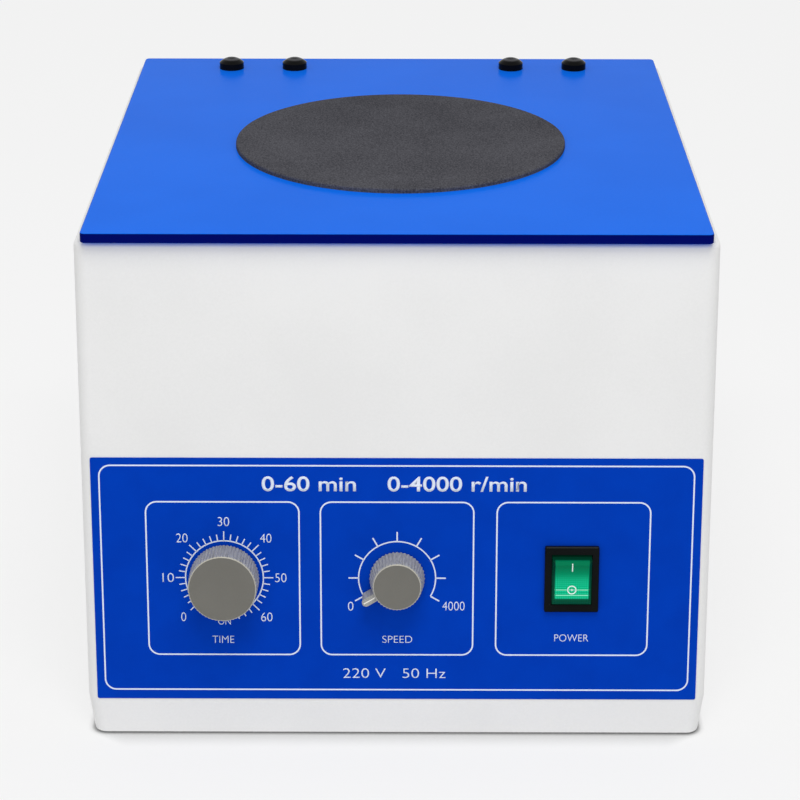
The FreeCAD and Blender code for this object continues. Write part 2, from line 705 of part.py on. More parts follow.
def motor_stator():
    """Laminated field ring pressed into the can."""
    ring = cylinder(MOTOR_RADIUS - MOTOR_CAN_WALL, STATOR_HEIGHT)
    ring = ring.cut(cylinder(STATOR_BORE, STATOR_HEIGHT))
    return on_rotor_axis(ring, stator_bottom())


def motor_armature():
    """Slotted core that the spindle carries."""
    core = cylinder(STATOR_BORE - AIR_GAP, STATOR_HEIGHT)
    slot = box(2 * ARMATURE_SLOT_DEPTH, ARMATURE_SLOT_WIDTH, STATOR_HEIGHT, STATOR_BORE)
    slots = [turned(slot, 360 * i / ARMATURE_SLOTS) for i in range(ARMATURE_SLOTS)]
    core = core.cut(slots + [cylinder(SPINDLE_RADIUS, STATOR_HEIGHT)])
    return on_rotor_axis(core, stator_bottom())


def commutator_bottom():
    return stator_bottom() + STATOR_HEIGHT + COMMUTATOR_GAP


def commutator():
    drum = cylinder(COMMUTATOR_RADIUS, COMMUTATOR_HEIGHT)
    drum = drum.cut(cylinder(SPINDLE_RADIUS, COMMUTATOR_HEIGHT))
    return on_rotor_axis(drum, commutator_bottom())


def carbon_brushes():
    """Two brushes in holders that hang from the upper bell."""
    inner = COMMUTATOR_RADIUS + SWING_PLAY
    bottom = commutator_bottom() + COMMUTATOR_GAP
    height = MOTOR_TOP - BELL_WALL - bottom
    brush = box(BRUSH_LENGTH, BRUSH_WIDTH, height, inner + BRUSH_LENGTH / 2)
    pair = [brush, turned(brush, 180)]
    return group([on_rotor_axis(b, bottom) for b in pair])


def motor_bearings():
    ring = cylinder(BEARING_RADIUS, BEARING_WIDTH)
    ring = ring.cut(cylinder(SPINDLE_RADIUS + RUNNING_PLAY, BEARING_WIDTH))
    upper = MOTOR_TOP + NECK_HEIGHT - BEARING_WIDTH
    return group([on_rotor_axis(ring, MOTOR_BOTTOM), on_rotor_axis(ring, upper)])


def spindle():
    """Steel shaft from the lower bearing to the rotor's nut."""
    length = SPINDLE_TOP - MOTOR_BOTTOM
    shaft = revolved([(0, 0), (SPINDLE_RADIUS, 0), (SPINDLE_RADIUS, length - SPINDLE_BEVEL),
                      (SPINDLE_RADIUS - SPINDLE_BEVEL, length), (0, length)])
    return on_rotor_axis(shaft, MOTOR_BOTTOM)


# --- chamber -------------------------------------------------------------------------------
def bowl_form(offset):
    """Deep-drawn form of the bowl, grown by the offset, standing on its floor."""
    form = revolved([(0, -offset), (BOWL_FLOOR_RADIUS + offset, -offset),
                     (BOWL_RADIUS + offset, BOWL_DEPTH), (0, BOWL_DEPTH)])
    rim = [e for e in form.Edges if e.BoundBox.ZMax < BOWL_DEPTH / 2 and len(e.Vertexes) == 1]
    return form.makeFillet(BOWL_CORNER + offset, rim)


def chamber_bowl():
    bowl = bowl_form(BOWL_WALL)
    flange = cylinder(BOWL_RADIUS + BOWL_FLANGE, BOWL_WALL, Vector(0, 0, BOWL_DEPTH - BOWL_WALL))
    bowl = bowl.fuse(flange).cut([bowl_form(0), cylinder(BOWL_HOLE_RADIUS, BOWL_CORNER,
                                                         Vector(0, 0, -BOWL_CORNER / 2))])
    return on_rotor_axis(bowl, BOWL_FLOOR)


def lid_gasket():
    """Half-round rubber ring on the cabinet's top, round the mouth."""
    height = LID_GAP - GASKET_CLEARANCE
    start = Vector(GASKET_INNER, 0, 0)
    end = Vector(GASKET_OUTER, 0, 0)
    crown = Part.Arc(start, Vector((GASKET_INNER + GASKET_OUTER) / 2, 0, height), end).toShape()
    foot = Part.makeLine(end, start)
    ring = Part.Face(Part.Wire([crown, foot])).revolve(Vector(0, 0, 0), Vector(0, 0, 1), 360)
    return on_rotor_axis(ring, CABINET_TOP)


def shaft_boot():
    """Rubber sleeve from the bowl's floor to the motor's neck, which seals the chamber."""
    top = BOWL_FLOOR - BOWL_WALL
    bottom = MOTOR_TOP + NECK_HEIGHT / 2
    inner = NECK_RADIUS + BOOT_ROOM
    outer = inner + BOOT_WALL
    flange = BOWL_HOLE_RADIUS + BOOT_LAP
    outline = [(inner, top), (flange, top), (flange, top - BOOT_WALL), (outer, top - BOOT_WALL),
               (outer, bottom), (NECK_RADIUS, bottom), (NECK_RADIUS, bottom + BOOT_WALL),
               (inner, bottom + BOOT_WALL)]
    return on_rotor_axis(revolved(outline))


# --- rotor ---------------------------------------------------------------------------------
def slope_point(along, into):
    """(radius, height) of a point on the section through a tube's axis.

    along runs up and outwards across the rotor's dish from a mouth's centre, and into runs
    down the tube.
    """
    tilt = math.radians(TUBE_TILT)
    radius = TUBE_MOUTH_CIRCLE + along * math.cos(tilt) + into * math.sin(tilt)
    height = TUBE_MOUTH_HEIGHT + along * math.sin(tilt) - into * math.cos(tilt)
    return radius, height


def dish_height(radius, into):
    """Height of the dish's surface at a radius, on its top (0) or below it."""
    start_radius, start_height = slope_point(0, into)
    return start_height - (start_radius - radius) * math.tan(math.radians(TUBE_TILT))


def at_tubes(shape):
    """Copies of a shape made with +Z out of a mouth, one for each tube."""
    tilted = turned(shape, -TUBE_TILT, Vector(0, 1, 0))
    first = moved(tilted, TUBE_MOUTH_CIRCLE, 0, TUBE_MOUTH_HEIGHT)
    return [on_rotor_axis(turned(first, 360 * i / TUBE_COUNT)) for i in range(TUBE_COUNT)]


def rotor_head():
    """Angle rotor: a hub, a dish that holds the tubes and a windshield skirt."""
    hub = ROTOR_HUB_RADIUS
    rim = DISH_BEYOND_MOUTH
    skirt = rim - ROTOR_SKIRT_WALL
    outline = [(SPINDLE_RADIUS, ROTOR_HUB_TOP), (hub, ROTOR_HUB_TOP), (hub, dish_height(hub, 0)),
               slope_point(rim, 0), slope_point(rim, ROTOR_SKIRT_LENGTH),
               slope_point(skirt, ROTOR_SKIRT_LENGTH), slope_point(skirt, DISH_THICKNESS),
               (hub, dish_height(hub, DISH_THICKNESS)), (hub, ROTOR_HUB_BOTTOM),
               (SPINDLE_RADIUS, ROTOR_HUB_BOTTOM)]
    head = on_rotor_axis(revolved(outline))
    bore = cylinder(SLEEVE_OUTER + SLEEVE_PLAY, 4 * DISH_THICKNESS,
                    Vector(0, 0, -2 * DISH_THICKNESS))
    spot_face = cylinder(SLEEVE_COLLAR + SLEEVE_PLAY, DISH_THICKNESS)
    return head.cut(at_tubes(bore.fuse(spot_face)))


def round_end(radius, centre):
    """Quarter of a round bottom's section, from its side to its lowest point."""
    part_way = radius * math.sqrt(0.5)
    return Part.Arc(Vector(radius, 0, centre), Vector(part_way, 0, centre - part_way),
                    Vector(0, 0, centre - radius)).toShape()


def tube_sleeve():
    """Round-bottomed tube carrier, with its mouth at the origin and its collar above."""
    centre = SLEEVE_OUTER - SLEEVE_LENGTH
    inside = round_end(SLEEVE_BORE, centre)
    outside = round_end(SLEEVE_OUTER, centre)
    bottom = Part.makeLine(Vector(0, 0, centre - SLEEVE_BORE),
                           Vector(0, 0, centre - SLEEVE_OUTER))
    rest = Part.makePolygon([Vector(SLEEVE_OUTER, 0, centre), Vector(SLEEVE_OUTER, 0, 0),
                             Vector(SLEEVE_COLLAR, 0, 0),
                             Vector(SLEEVE_COLLAR, 0, SLEEVE_COLLAR_HEIGHT),
                             Vector(SLEEVE_BORE, 0, SLEEVE_COLLAR_HEIGHT),
                             Vector(SLEEVE_BORE, 0, centre)])
    section = Part.Wire(Part.__sortEdges__([inside, bottom, outside] + rest.Edges))
    return Part.Face(section).revolve(Vector(0, 0, 0), Vector(0, 0, 1), 360)


def tube_sleeves():
    return group(at_tubes(tube_sleeve()))


def rotor_washer():
    ring = cylinder(ROTOR_WASHER_RADIUS, ROTOR_WASHER_THICKNESS)
    ring = ring.cut(cylinder(SPINDLE_RADIUS, ROTOR_WASHER_THICKNESS))
    return on_rotor_axis(ring, ROTOR_HUB_TOP)


def rotor_nut():
    """Domed hexagon nut that clamps the rotor to the spindle."""
    bottom = ROTOR_HUB_TOP + ROTOR_WASHER_THICKNESS
    nut = hex_prism(ROTOR_NUT_FLATS, ROTOR_NUT_HEIGHT)
    dome = dome_solid(ROTOR_NUT_FLATS / 2 - 1, ROTOR_NUT_HEIGHT,
                      ROTOR_NUT_HEIGHT + ROTOR_NUT_DOME)
    blind = cylinder(SPINDLE_RADIUS, SPINDLE_TOP - bottom)
    return on_rotor_axis(nut.fuse(dome).cut(blind), bottom)


def dome_solid(radius, skirt, height):
    """Round cap with an upright skirt and a part-spherical top."""
    rise = height - skirt
    ball = (radius ** 2 + rise ** 2) / (2 * rise)
    half_angle = math.asin(radius / ball) / 2
    middle = Vector(ball * math.sin(half_angle), 0, height - ball + ball * math.cos(half_angle))
    edge = Vector(radius, 0, skirt)
    crown = Part.Arc(edge, middle, Vector(0, 0, height)).toShape()
    rest = Part.makePolygon([Vector(0, 0, height), Vector(0, 0, 0), Vector(radius, 0, 0), edge])
    face = Part.Face(Part.Wire([crown] + rest.Edges))
    return face.revolve(Vector(0, 0, 0), Vector(0, 0, 1), 360)


# --- hinges and lid ------------------------------------------------------------------------
def lid_bolt_places():
    half = HINGE_BOLT_PITCH / 2
    return [(centre + side, HINGE_BOLT_Y) for centre in HINGE_CENTRES for side in (-half, half)]


def hinge_screw_places():
    z = KNUCKLE_Z - FIXED_LEAF_DROP + HINGE_SCREW_LIFT
    half = HINGE_BOLT_PITCH / 2
    return [(centre + side, z) for centre in HINGE_CENTRES for side in (-half, half)]


def knuckle_spans(centre_x, first):
    """(start, length) along X of every other knuckle of a hinge, from the first given."""
    pitch = HINGE_LENGTH / KNUCKLE_COUNT
    start = centre_x - HINGE_LENGTH / 2 + KNUCKLE_PLAY / 2
    return [(start + i * pitch, pitch - KNUCKLE_PLAY) for i in range(first, KNUCKLE_COUNT, 2)]


def along_hinge(radius, start, length):
    """Cylinder on the hinge's axis."""
    return cylinder(radius, length, Vector(start, KNUCKLE_Y, KNUCKLE_Z), Vector(1, 0, 0))


def hinge_bore(centre_x, radius):
    return along_hinge(radius, centre_x - HINGE_LENGTH, 2 * HINGE_LENGTH)


def fixed_leaf(centre_x):
    """Leaf on the rear wall, with tabs up to its own knuckles."""
    bottom = KNUCKLE_Z - FIXED_LEAF_DROP
    clear = KNUCKLE_Z - KNUCKLE_RADIUS - SWING_PLAY
    y = CABINET_REAR + LEAF_THICKNESS / 2
    pieces = [box(HINGE_LENGTH, LEAF_THICKNESS, clear - bottom, centre_x, y, bottom)]
    for start, length in knuckle_spans(centre_x, 0):
        pieces.append(box(length, LEAF_THICKNESS, KNUCKLE_Z - bottom, start + length / 2, y,
                          bottom))
        pieces.append(along_hinge(KNUCKLE_RADIUS, start, length))
    return fused(pieces).cut(hinge_bore(centre_x, PIN_RADIUS))


def moving_leaf(centre_x):
    """Leaf under the lid, with tabs back to its own knuckles."""
    clear = KNUCKLE_Y - KNUCKLE_RADIUS - SWING_PLAY
    pieces = [box(HINGE_LENGTH, clear - LEAF_FRONT, LEAF_THICKNESS, centre_x,
                  (clear + LEAF_FRONT) / 2, LEAF_BOTTOM)]
    for start, length in knuckle_spans(centre_x, 1):
        pieces.append(box(length, KNUCKLE_Y - LEAF_FRONT, LEAF_THICKNESS, start + length / 2,
                          (KNUCKLE_Y + LEAF_FRONT) / 2, LEAF_BOTTOM))
        pieces.append(along_hinge(KNUCKLE_RADIUS, start, length))
    return fused(pieces).cut(hinge_bore(centre_x, PIN_RADIUS + RUNNING_PLAY))


def hinge_fixed_leaves():
    leaves = group([fixed_leaf(x) for x in HINGE_CENTRES])
    return leaves.cut(screw_holes(hinge_screws_facing()))


def hinge_screws_facing():
    y = CABINET_REAR + LEAF_THICKNESS
    return [(Vector(x, y, z), Vector(0, 1, 0)) for x, z in hinge_screw_places()]


def hinge_moving_leaves():
    leaves = group([moving_leaf(x) for x in HINGE_CENTRES])
    return leaves.cut([lid_bolt(x, y, HOLE_PLAY) for x, y in lid_bolt_places()])


def hinge_pins():
    """Pins with a small head at each end, fast in the fixed knuckles."""
    pins = []
    for centre_x in HINGE_CENTRES:
        start = centre_x - (HINGE_LENGTH - KNUCKLE_PLAY) / 2
        end = centre_x + (HINGE_LENGTH - KNUCKLE_PLAY) / 2
        pins.append(fused([along_hinge(PIN_RADIUS, start, end - start),
                           along_hinge(PIN_HEAD_RADIUS, start - PIN_HEAD_LENGTH, PIN_HEAD_LENGTH),
                           along_hinge(PIN_HEAD_RADIUS, end, PIN_HEAD_LENGTH)]))
    return group(pins)


def hinge_screws():
    return pan_screws(hinge_screws_facing())


def lid_bolt(x, y, play=0.0):
    """Countersunk bolt up through leaf and lid; play widens its shank into a hole."""
    length = LID_TOP + CAP_BORE_DEPTH - LEAF_BOTTOM
    radius = LID_BOLT_RADIUS + play
    cone = LID_BOLT_HEAD_HEIGHT * (LID_BOLT_HEAD - radius) / (LID_BOLT_HEAD - LID_BOLT_RADIUS)
    bolt = revolved([(0, 0), (LID_BOLT_HEAD, 0), (radius, cone), (radius, length), (0, length)])
    return moved(bolt, x, y, LEAF_BOTTOM)


def lid_bolts():
    return group([lid_bolt(x, y) for x, y in lid_bolt_places()])


def lid_plate():
    """Flat plate with rounded corners and lightly bevelled edges."""
    plate = rounded_plate(LID_WIDTH, LID_DEPTH, LID_THICKNESS, LID_CORNER)
    rims = [e for e in plate.Edges if e.BoundBox.ZLength < LID_EDGE / 10]
    plate = moved(plate.makeChamfer(LID_EDGE, rims), 0, LID_DEPTH / 2, LID_BOTTOM)
    return plate.cut([lid_bolt(x, y, HOLE_PLAY) for x, y in lid_bolt_places()])


def lid_pad():
    """Round rubber mat on the lid, over the rotor."""
    pad = cylinder(PAD_RADIUS, PAD_THICKNESS)
    rim = max((e for e in pad.Edges if len(e.Vertexes) == 1), key=lambda e: e.BoundBox.ZMin)
    return on_rotor_axis(moved(pad.makeFillet(PAD_EDGE, [rim]), PAD_OFFSET), LID_TOP)


def lid_bolt_caps():
    """Domed black caps over the lid's bolts."""
    cap = dome_solid(CAP_RADIUS, CAP_SKIRT, CAP_HEIGHT)
    cap = cap.cut(cylinder(LID_BOLT_RADIUS, CAP_BORE_DEPTH))
    return group([moved(cap, x, y, LID_TOP) for x, y in lid_bolt_places()])


# --- front panel and controls --------------------------------------------------------------
def panel_overlay():
    """Printed film on the front face."""
    film = rounded_plate(OVERLAY_WIDTH, OVERLAY_HEIGHT, OVERLAY_THICKNESS, OVERLAY_CORNER)
    film = on_panel(film, 0, OVERLAY_TOP + OVERLAY_HEIGHT / 2)
    return film.cut(panel_holes(8 * SHEET))


def knob_outline(radius, flutes, z):
    """Finely toothed circle."""
    points = []
    for i in range(2 * flutes):
        reach = radius - FLUTE_DEPTH * (i % 2)
        angle = math.pi * i / flutes
        points.append((reach * math.cos(angle), reach * math.sin(angle), z))
    return polygon(points)


def knob_body(base, top, height, flutes):
    """Fluted, slightly tapered knob with a bevelled face, hollow below round a boss."""
    skirt = Part.makeLoft([knob_outline(base, flutes, 0), knob_outline(top, flutes, height)],
                          True, True)
    envelope = revolved([(0, 0), (base, 0), (base, height - KNOB_BEVEL * 2),
                         (top, height - KNOB_BEVEL), (top - KNOB_BEVEL, height), (0, height)])
    hollow = cylinder(top - KNOB_WALL, height - KNOB_FACE)
    hollow = hollow.cut(cylinder(KNOB_BOSS_RADIUS, height, Vector(0, 0, boss_start())))
    return skirt.common(envelope).cut(hollow)


def boss_start():
    """Where a knob's boss begins, clear of the nut and bush in its hollow."""
    return nut_top() + BUSH_BEYOND_NUT + SWING_PLAY - knob_bottom()


def knob_bottom():
    return OVERLAY_THICKNESS + KNOB_GAP


def nut_top():
    return OVERLAY_THICKNESS + NUT_THICKNESS


def d_shaft(bottom, top):
    """Round control shaft whose upper part has a D flat."""
    shaft = cylinder(SHAFT_RADIUS, top - bottom, Vector(0, 0, bottom))
    flat_bottom = knob_bottom() + boss_start()
    flat = box(2 * SHAFT_RADIUS, SHAFT_FLAT, top - flat_bottom, 0,
               SHAFT_RADIUS - SHAFT_FLAT / 2, flat_bottom)
    return shaft.cut(flat)


def timer_shaft_end():
    return knob_bottom() + TIMER_KNOB_HEIGHT - KNOB_FACE


def speed_shaft_end():
    return knob_bottom() + SPEED_KNOB_HEIGHT - KNOB_FACE


def timer_shaft():
    shaft = d_shaft(-SHEET - SHAFT_INSIDE, timer_shaft_end())
    return on_panel(shaft, TIMER_X, CONTROL_LINE)


def speed_shaft():
    shaft = d_shaft(-SHEET - SHAFT_INSIDE, speed_shaft_end())
    return on_panel(shaft, SPEED_X, CONTROL_LINE)


def timer_knob():
    knob = knob_body(TIMER_KNOB_BASE, TIMER_KNOB_TOP, TIMER_KNOB_HEIGHT, TIMER_KNOB_FLUTES)
    knob = moved(knob, z=knob_bottom()).cut(d_shaft(0, timer_shaft_end()))
    return on_panel(knob, TIMER_X, CONTROL_LINE)


def speed_knob():
    knob = knob_body(SPEED_KNOB_BASE, SPEED_KNOB_TOP, SPEED_KNOB_HEIGHT, SPEED_KNOB_FLUTES)
    knob = knob.fuse(pointer())
    knob = moved(knob, z=knob_bottom()).cut(d_shaft(0, speed_shaft_end()))
    return on_panel(knob, SPEED_X, CONTROL_LINE)


def pointer():
    """Pointer with a rounded tip that stands out of the knob's skirt."""
    start = SPEED_KNOB_TOP - KNOB_WALL / 2
    tip = POINTER_REACH - POINTER_WIDTH / 2
    bar = box(tip - start, POINTER_WIDTH, POINTER_HEIGHT, (tip + start) / 2)
    end = cylinder(POINTER_WIDTH / 2, POINTER_HEIGHT, Vector(tip, 0, 0))
    return turned(fused([bar, end]), POINTER_ANGLE)


def bush_nut(bush_radius, flats):
    nut = hex_prism(flats, NUT_THICKNESS).cut(cylinder(bush_radius, NUT_THICKNESS))
    return moved(nut, z=OVERLAY_THICKNESS)


def with_bush(case, bush_radius):
    """A control's case with its bush through the panel, bored for the shaft."""
    bush = cylinder(bush_radius, SHEET + nut_top() + BUSH_BEYOND_NUT, Vector(0, 0, -SHEET))
    bore_bottom = -SHEET - SHAFT_INSIDE - SWING_PLAY
    bore = cylinder(SHAFT_RADIUS + RUNNING_PLAY, BIG, Vector(0, 0, bore_bottom))
    return case.fuse(bush).cut(bore)


def timer_case():
    """Clockwork timer: a square case with rounded corners and two tabs at its back."""
    case = rounded_plate(TIMER_CASE, TIMER_CASE, TIMER_CASE_DEPTH, TIMER_CASE_CORNER)
    case = moved(case, z=-SHEET - TIMER_CASE_DEPTH)
    unit = with_bush(case, TIMER_BUSH_RADIUS)
    tabs = [box(TERMINAL_WIDTH, TERMINAL_THICKNESS, TERMINAL_LENGTH, x, 0,
                -SHEET - TIMER_CASE_DEPTH - TERMINAL_LENGTH)
            for x in (-TERMINAL_PITCH, TERMINAL_PITCH)]
    return on_panel(unit.fuse(tabs), TIMER_X, CONTROL_LINE)


def timer_nut():
    return on_panel(bush_nut(TIMER_BUSH_RADIUS, TIMER_NUT_FLATS), TIMER_X, CONTROL_LINE)


def speed_control():
    """Rotary resistor that sets the motor's speed, with three solder tabs."""
    can = cylinder(SPEED_CAN_RADIUS, SPEED_CAN_DEPTH, Vector(0, 0, -SHEET - SPEED_CAN_DEPTH))
    unit = with_bush(can, SPEED_BUSH_RADIUS)
    tabs = [box(TERMINAL_WIDTH / 2, TERMINAL_LENGTH, TERMINAL_THICKNESS, x,
                -SPEED_CAN_RADIUS, -SHEET - SPEED_CAN_DEPTH / 2)
            for x in (-TERMINAL_WIDTH, 0, TERMINAL_WIDTH)]
    return on_panel(unit.fuse(tabs), SPEED_X, CONTROL_LINE)


def speed_nut():
    return on_panel(bush_nut(SPEED_BUSH_RADIUS, SPEED_NUT_FLATS), SPEED_X, CONTROL_LINE)


def bezel_face():
    return OVERLAY_THICKNESS + BEZEL_THICKNESS


def switch_housing():
    """Rocker switch's bezel and body in one moulding, with the rocker's well."""
    bezel = rounded_plate(BEZEL_WIDTH, BEZEL_HEIGHT, BEZEL_THICKNESS, BEZEL_CORNER)
    rim = [e for e in bezel.Edges if abs(e.BoundBox.ZMin - BEZEL_THICKNESS) < 0.01]
    bezel = moved(bezel.makeChamfer(BEZEL_BEVEL, rim), z=OVERLAY_THICKNESS)
    depth = SWITCH_BODY_DEPTH + OVERLAY_THICKNESS
    body = box(SWITCH_BODY_WIDTH, SWITCH_BODY_HEIGHT, depth, bottom=-SWITCH_BODY_DEPTH)
    well = box(BEZEL_OPENING_WIDTH, BEZEL_OPENING_HEIGHT, SWITCH_WELL + 1,
               bottom=bezel_face() - SWITCH_WELL)
    pivot = cylinder(ROCKER_PIN_RADIUS + RUNNING_PLAY, BEZEL_OPENING_WIDTH + 2 * ROCKER_PIN_REACH,
                     Vector(-BEZEL_OPENING_WIDTH / 2 - ROCKER_PIN_REACH, 0, rocker_pivot()),
                     Vector(1, 0, 0))
    housing = bezel.fuse(body).cut([well, pivot])
    return on_panel(housing, SWITCH_X, CONTROL_LINE)


def rocker_pivot():
    return bezel_face() - ROCKER_PIVOT_DEPTH


def rocker():
    """See-through rocker with a hollow face and pivot pins, resting at OFF."""
    half = BEZEL_OPENING_HEIGHT / 2 - ROCKER_PLAY
    width = BEZEL_OPENING_WIDTH - 2 * ROCKER_PLAY
    crown = ROCKER_PIVOT_DEPTH + ROCKER_CROWN
    left = -width / 2
    upper = Vector(left, half - ROCKER_NARROWING, crown)
    middle = Vector(left, 0, crown - ROCKER_DISH)
    lower = Vector(left, ROCKER_NARROWING - half, crown)
    face = Part.Arc(upper, middle, lower).toShape()
    sides = Part.makePolygon([lower, Vector(left, -half + ROCKER_SWAY, 0),
                              Vector(left, -half / 2, -ROCKER_BODY),
                              Vector(left, half / 2, -ROCKER_BODY),
                              Vector(left, half - ROCKER_SWAY, 0), upper])
    block = Part.Face(Part.Wire([face] + sides.Edges)).extrude(Vector(width, 0, 0))
    rim = [e for e in block.Edges if e.BoundBox.ZMax > crown - ROCKER_DISH
           and e.BoundBox.ZMin > crown - 2 * ROCKER_DISH]
    block = block.makeChamfer(ROCKER_BEVEL, rim)
    reach = ROCKER_PLAY + ROCKER_PIN_REACH - SWING_PLAY
    pins = cylinder(ROCKER_PIN_RADIUS, width + 2 * reach, Vector(left - reach, 0, 0),
                    Vector(1, 0, 0))
    shape = turned(block.fuse(pins), ROCKER_SWING / 2, Vector(1, 0, 0))
    return on_panel(moved(shape, z=rocker_pivot()), SWITCH_X, CONTROL_LINE)


def switch_terminals():
    """Four push-on blades at the back of the switch."""
    blades = [box(TERMINAL_WIDTH, TERMINAL_THICKNESS, TERMINAL_LENGTH, x, y,
                  -SWITCH_BODY_DEPTH - TERMINAL_LENGTH)
              for x in (-TERMINAL_PITCH / 2, TERMINAL_PITCH / 2)
              for y in (-TERMINAL_PITCH / 2, TERMINAL_PITCH / 2)]
    return on_panel(group(blades), SWITCH_X, CONTROL_LINE)


# --- rear ----------------------------------------------------------------------------------
def vent_slots(depth):
    """Rows of round-ended slots in two columns."""
    slot = rounded_plate(VENT_LENGTH, VENT_WIDTH, depth, VENT_WIDTH / 2 - 0.01)
    step = (VENT_LENGTH + VENT_GAP)
    first = -(VENT_COLUMNS - 1) / 2
    return [on_rear(moved(slot, z=-depth / 2), (first + column) * step,
                    VENT_BOTTOM + row * VENT_PITCH)
            for column in range(VENT_COLUMNS) for row in range(VENT_ROWS)]


def rear_cover():
    """Screwed sheet over the rear opening, with the vents and the inlet's cut-outs."""
    cover = rounded_plate(REAR_COVER_WIDTH, REAR_COVER_HEIGHT, SHEET, REAR_COVER_CORNER)
    cover = on_rear(cover, 0, rear_cover_centre())
    inlet = box(INLET_BODY_WIDTH + 2 * HOLE_PLAY, INLET_BODY_HEIGHT + 2 * HOLE_PLAY, 6 * SHEET,
                bottom=-3 * SHEET)
    fuse = cylinder(FUSE_BODY_RADIUS + HOLE_PLAY, 6 * SHEET, Vector(0, 0, -3 * SHEET))
    tools = vent_slots(6 * SHEET)
    tools += [on_rear(inlet, INLET_X, INLET_Z), on_rear(fuse, FUSE_X, INLET_Z)]
    places = rear_screw_places() + inlet_screw_places()
    tools += screw_holes([(Vector(x, CABINET_REAR, z), Vector(0, 1, 0)) for x, z in places])
    return cover.cut(tools)


def rear_cover_screws():
    return pan_screws([(Vector(x, REAR_FACE, z), Vector(0, 1, 0))
                       for x, z in rear_screw_places()])


def inlet_screw_places():
    half = INLET_SCREW_PITCH / 2
    return [(INLET_X - half, INLET_Z), (INLET_X + half, INLET_Z)]


def inlet_cavity_outline():
    """Socket outline with its two upper corners clipped."""
    half = INLET_CAVITY_WIDTH / 2
    top = INLET_CAVITY_HEIGHT / 2
    cut = INLET_CAVITY_CUT
    return [(-half, -top, 0), (half, -top, 0), (half, top - cut, 0), (half - cut, top, 0),
            (cut - half, top, 0), (-half, top - cut, 0)]


def power_inlet():
    """Appliance inlet: eared flange, body and the socket's recess."""
    ear = INLET_EARS / 2
    slim = INLET_HEIGHT * INLET_EAR_SHARE / 2
    waist = INLET_BODY_WIDTH / 2 + INLET_FLANGE / 2
    tall = INLET_HEIGHT / 2
    outline = [(-ear, -slim, 0), (-waist, -tall, 0), (waist, -tall, 0), (ear, -slim, 0),
               (ear, slim, 0), (waist, tall, 0), (-waist, tall, 0), (-ear, slim, 0)]
    flange = prism(outline, Vector(0, 0, INLET_FLANGE))
    uprights = [e for e in flange.Edges if e.BoundBox.ZLength > INLET_FLANGE / 2]
    flange = flange.makeFillet(INLET_EAR_ROUND, uprights)
    body = box(INLET_BODY_WIDTH, INLET_BODY_HEIGHT, INLET_BODY_DEPTH, bottom=-INLET_BODY_DEPTH)
    cavity = prism(inlet_cavity_outline(), Vector(0, 0, INLET_CAVITY_DEPTH))
    cavity = moved(cavity, z=INLET_FLANGE - INLET_CAVITY_DEPTH)
    drills = [cylinder(SCREW_RADIUS + HOLE_PLAY, INLET_FLANGE, Vector(x, 0, 0))
              for x in (-INLET_SCREW_PITCH / 2, INLET_SCREW_PITCH / 2)]
    inlet = flange.fuse(body).cut([cavity] + drills + inlet_blades())
    return on_rear(inlet, INLET_X, INLET_Z, REAR_FACE)


def inlet_blades():
    """Three flat pins through the socket's floor, tabs behind."""
    length = INLET_BODY_DEPTH + TERMINAL_LENGTH - INLET_PIN_RECESS + INLET_FLANGE
    bottom = -INLET_BODY_DEPTH - TERMINAL_LENGTH
    places = [(-INLET_PIN_PITCH, -INLET_PIN_DROP), (0, INLET_PIN_LIFT),
              (INLET_PIN_PITCH, -INLET_PIN_DROP)]
    return [box(INLET_PIN_THICKNESS, INLET_PIN_WIDTH, length, x, y, bottom) for x, y in places]


def inlet_pins():
    return on_rear(group(inlet_blades()), INLET_X, INLET_Z, REAR_FACE)


def inlet_screws():
    return pan_screws([(Vector(x, REAR_FACE + INLET_FLANGE, z), Vector(0, 1, 0))
                       for x, z in inlet_screw_places()])


def fuse_holder():
    """Round fuse holder: a slotted cap outside, and a body with its nut inside."""
    foot = FUSE_CAP_RADIUS + FUSE_RIM
    cap = revolved([(0, 0), (foot, 0), (foot, FUSE_RIM), (FUSE_CAP_RADIUS, 2 * FUSE_RIM),
                    (FUSE_CAP_RADIUS, FUSE_CAP_HEIGHT - FUSE_RIM),
                    (FUSE_CAP_RADIUS - FUSE_RIM, FUSE_CAP_HEIGHT), (0, FUSE_CAP_HEIGHT)])
    slot = box(FUSE_CAP_RADIUS, 2 * SCREW_SLOT_WIDTH, 2 * SCREW_SLOT_DEPTH,
               bottom=FUSE_CAP_HEIGHT - 2 * SCREW_SLOT_DEPTH)
    body = cylinder(FUSE_BODY_RADIUS, FUSE_BODY_DEPTH, Vector(0, 0, -FUSE_BODY_DEPTH))
    nut = moved(hex_prism(2 * FUSE_CAP_RADIUS, NUT_THICKNESS), z=-SHEET - NUT_THICKNESS)
    return on_rear(cap.cut(slot).fuse([body, nut]), FUSE_X, INLET_Z, REAR_FACE)


# --- control board -------------------------------------------------------------------------
def standoff_places():
    x = BOARD_WIDTH / 2 - BOARD_HOLE_INSET
    y = BOARD_DEPTH / 2 - BOARD_HOLE_INSET
    return [(BOARD_X + i, BOARD_Y + j) for i in (-x, x) for j in (-y, y)]


def board_bottom():
    return TRAY_TOP + STANDOFF_HEIGHT


def board_top():
    return board_bottom() + BOARD_THICKNESS


def board_standoffs():
    post = cylinder(STANDOFF_RADIUS, STANDOFF_HEIGHT)
    post = post.cut(cylinder(BOARD_SCREW_RADIUS, STANDOFF_HEIGHT))
    return group([moved(post, x, y, TRAY_TOP) for x, y in standoff_places()])


def control_board():
    board = box(BOARD_WIDTH, BOARD_DEPTH, BOARD_THICKNESS, BOARD_X, BOARD_Y, board_bottom())
    drills = [cylinder(BOARD_SCREW_RADIUS, BOARD_THICKNESS, Vector(x, y, board_bottom()))
              for x, y in standoff_places()]
    return board.cut(drills)


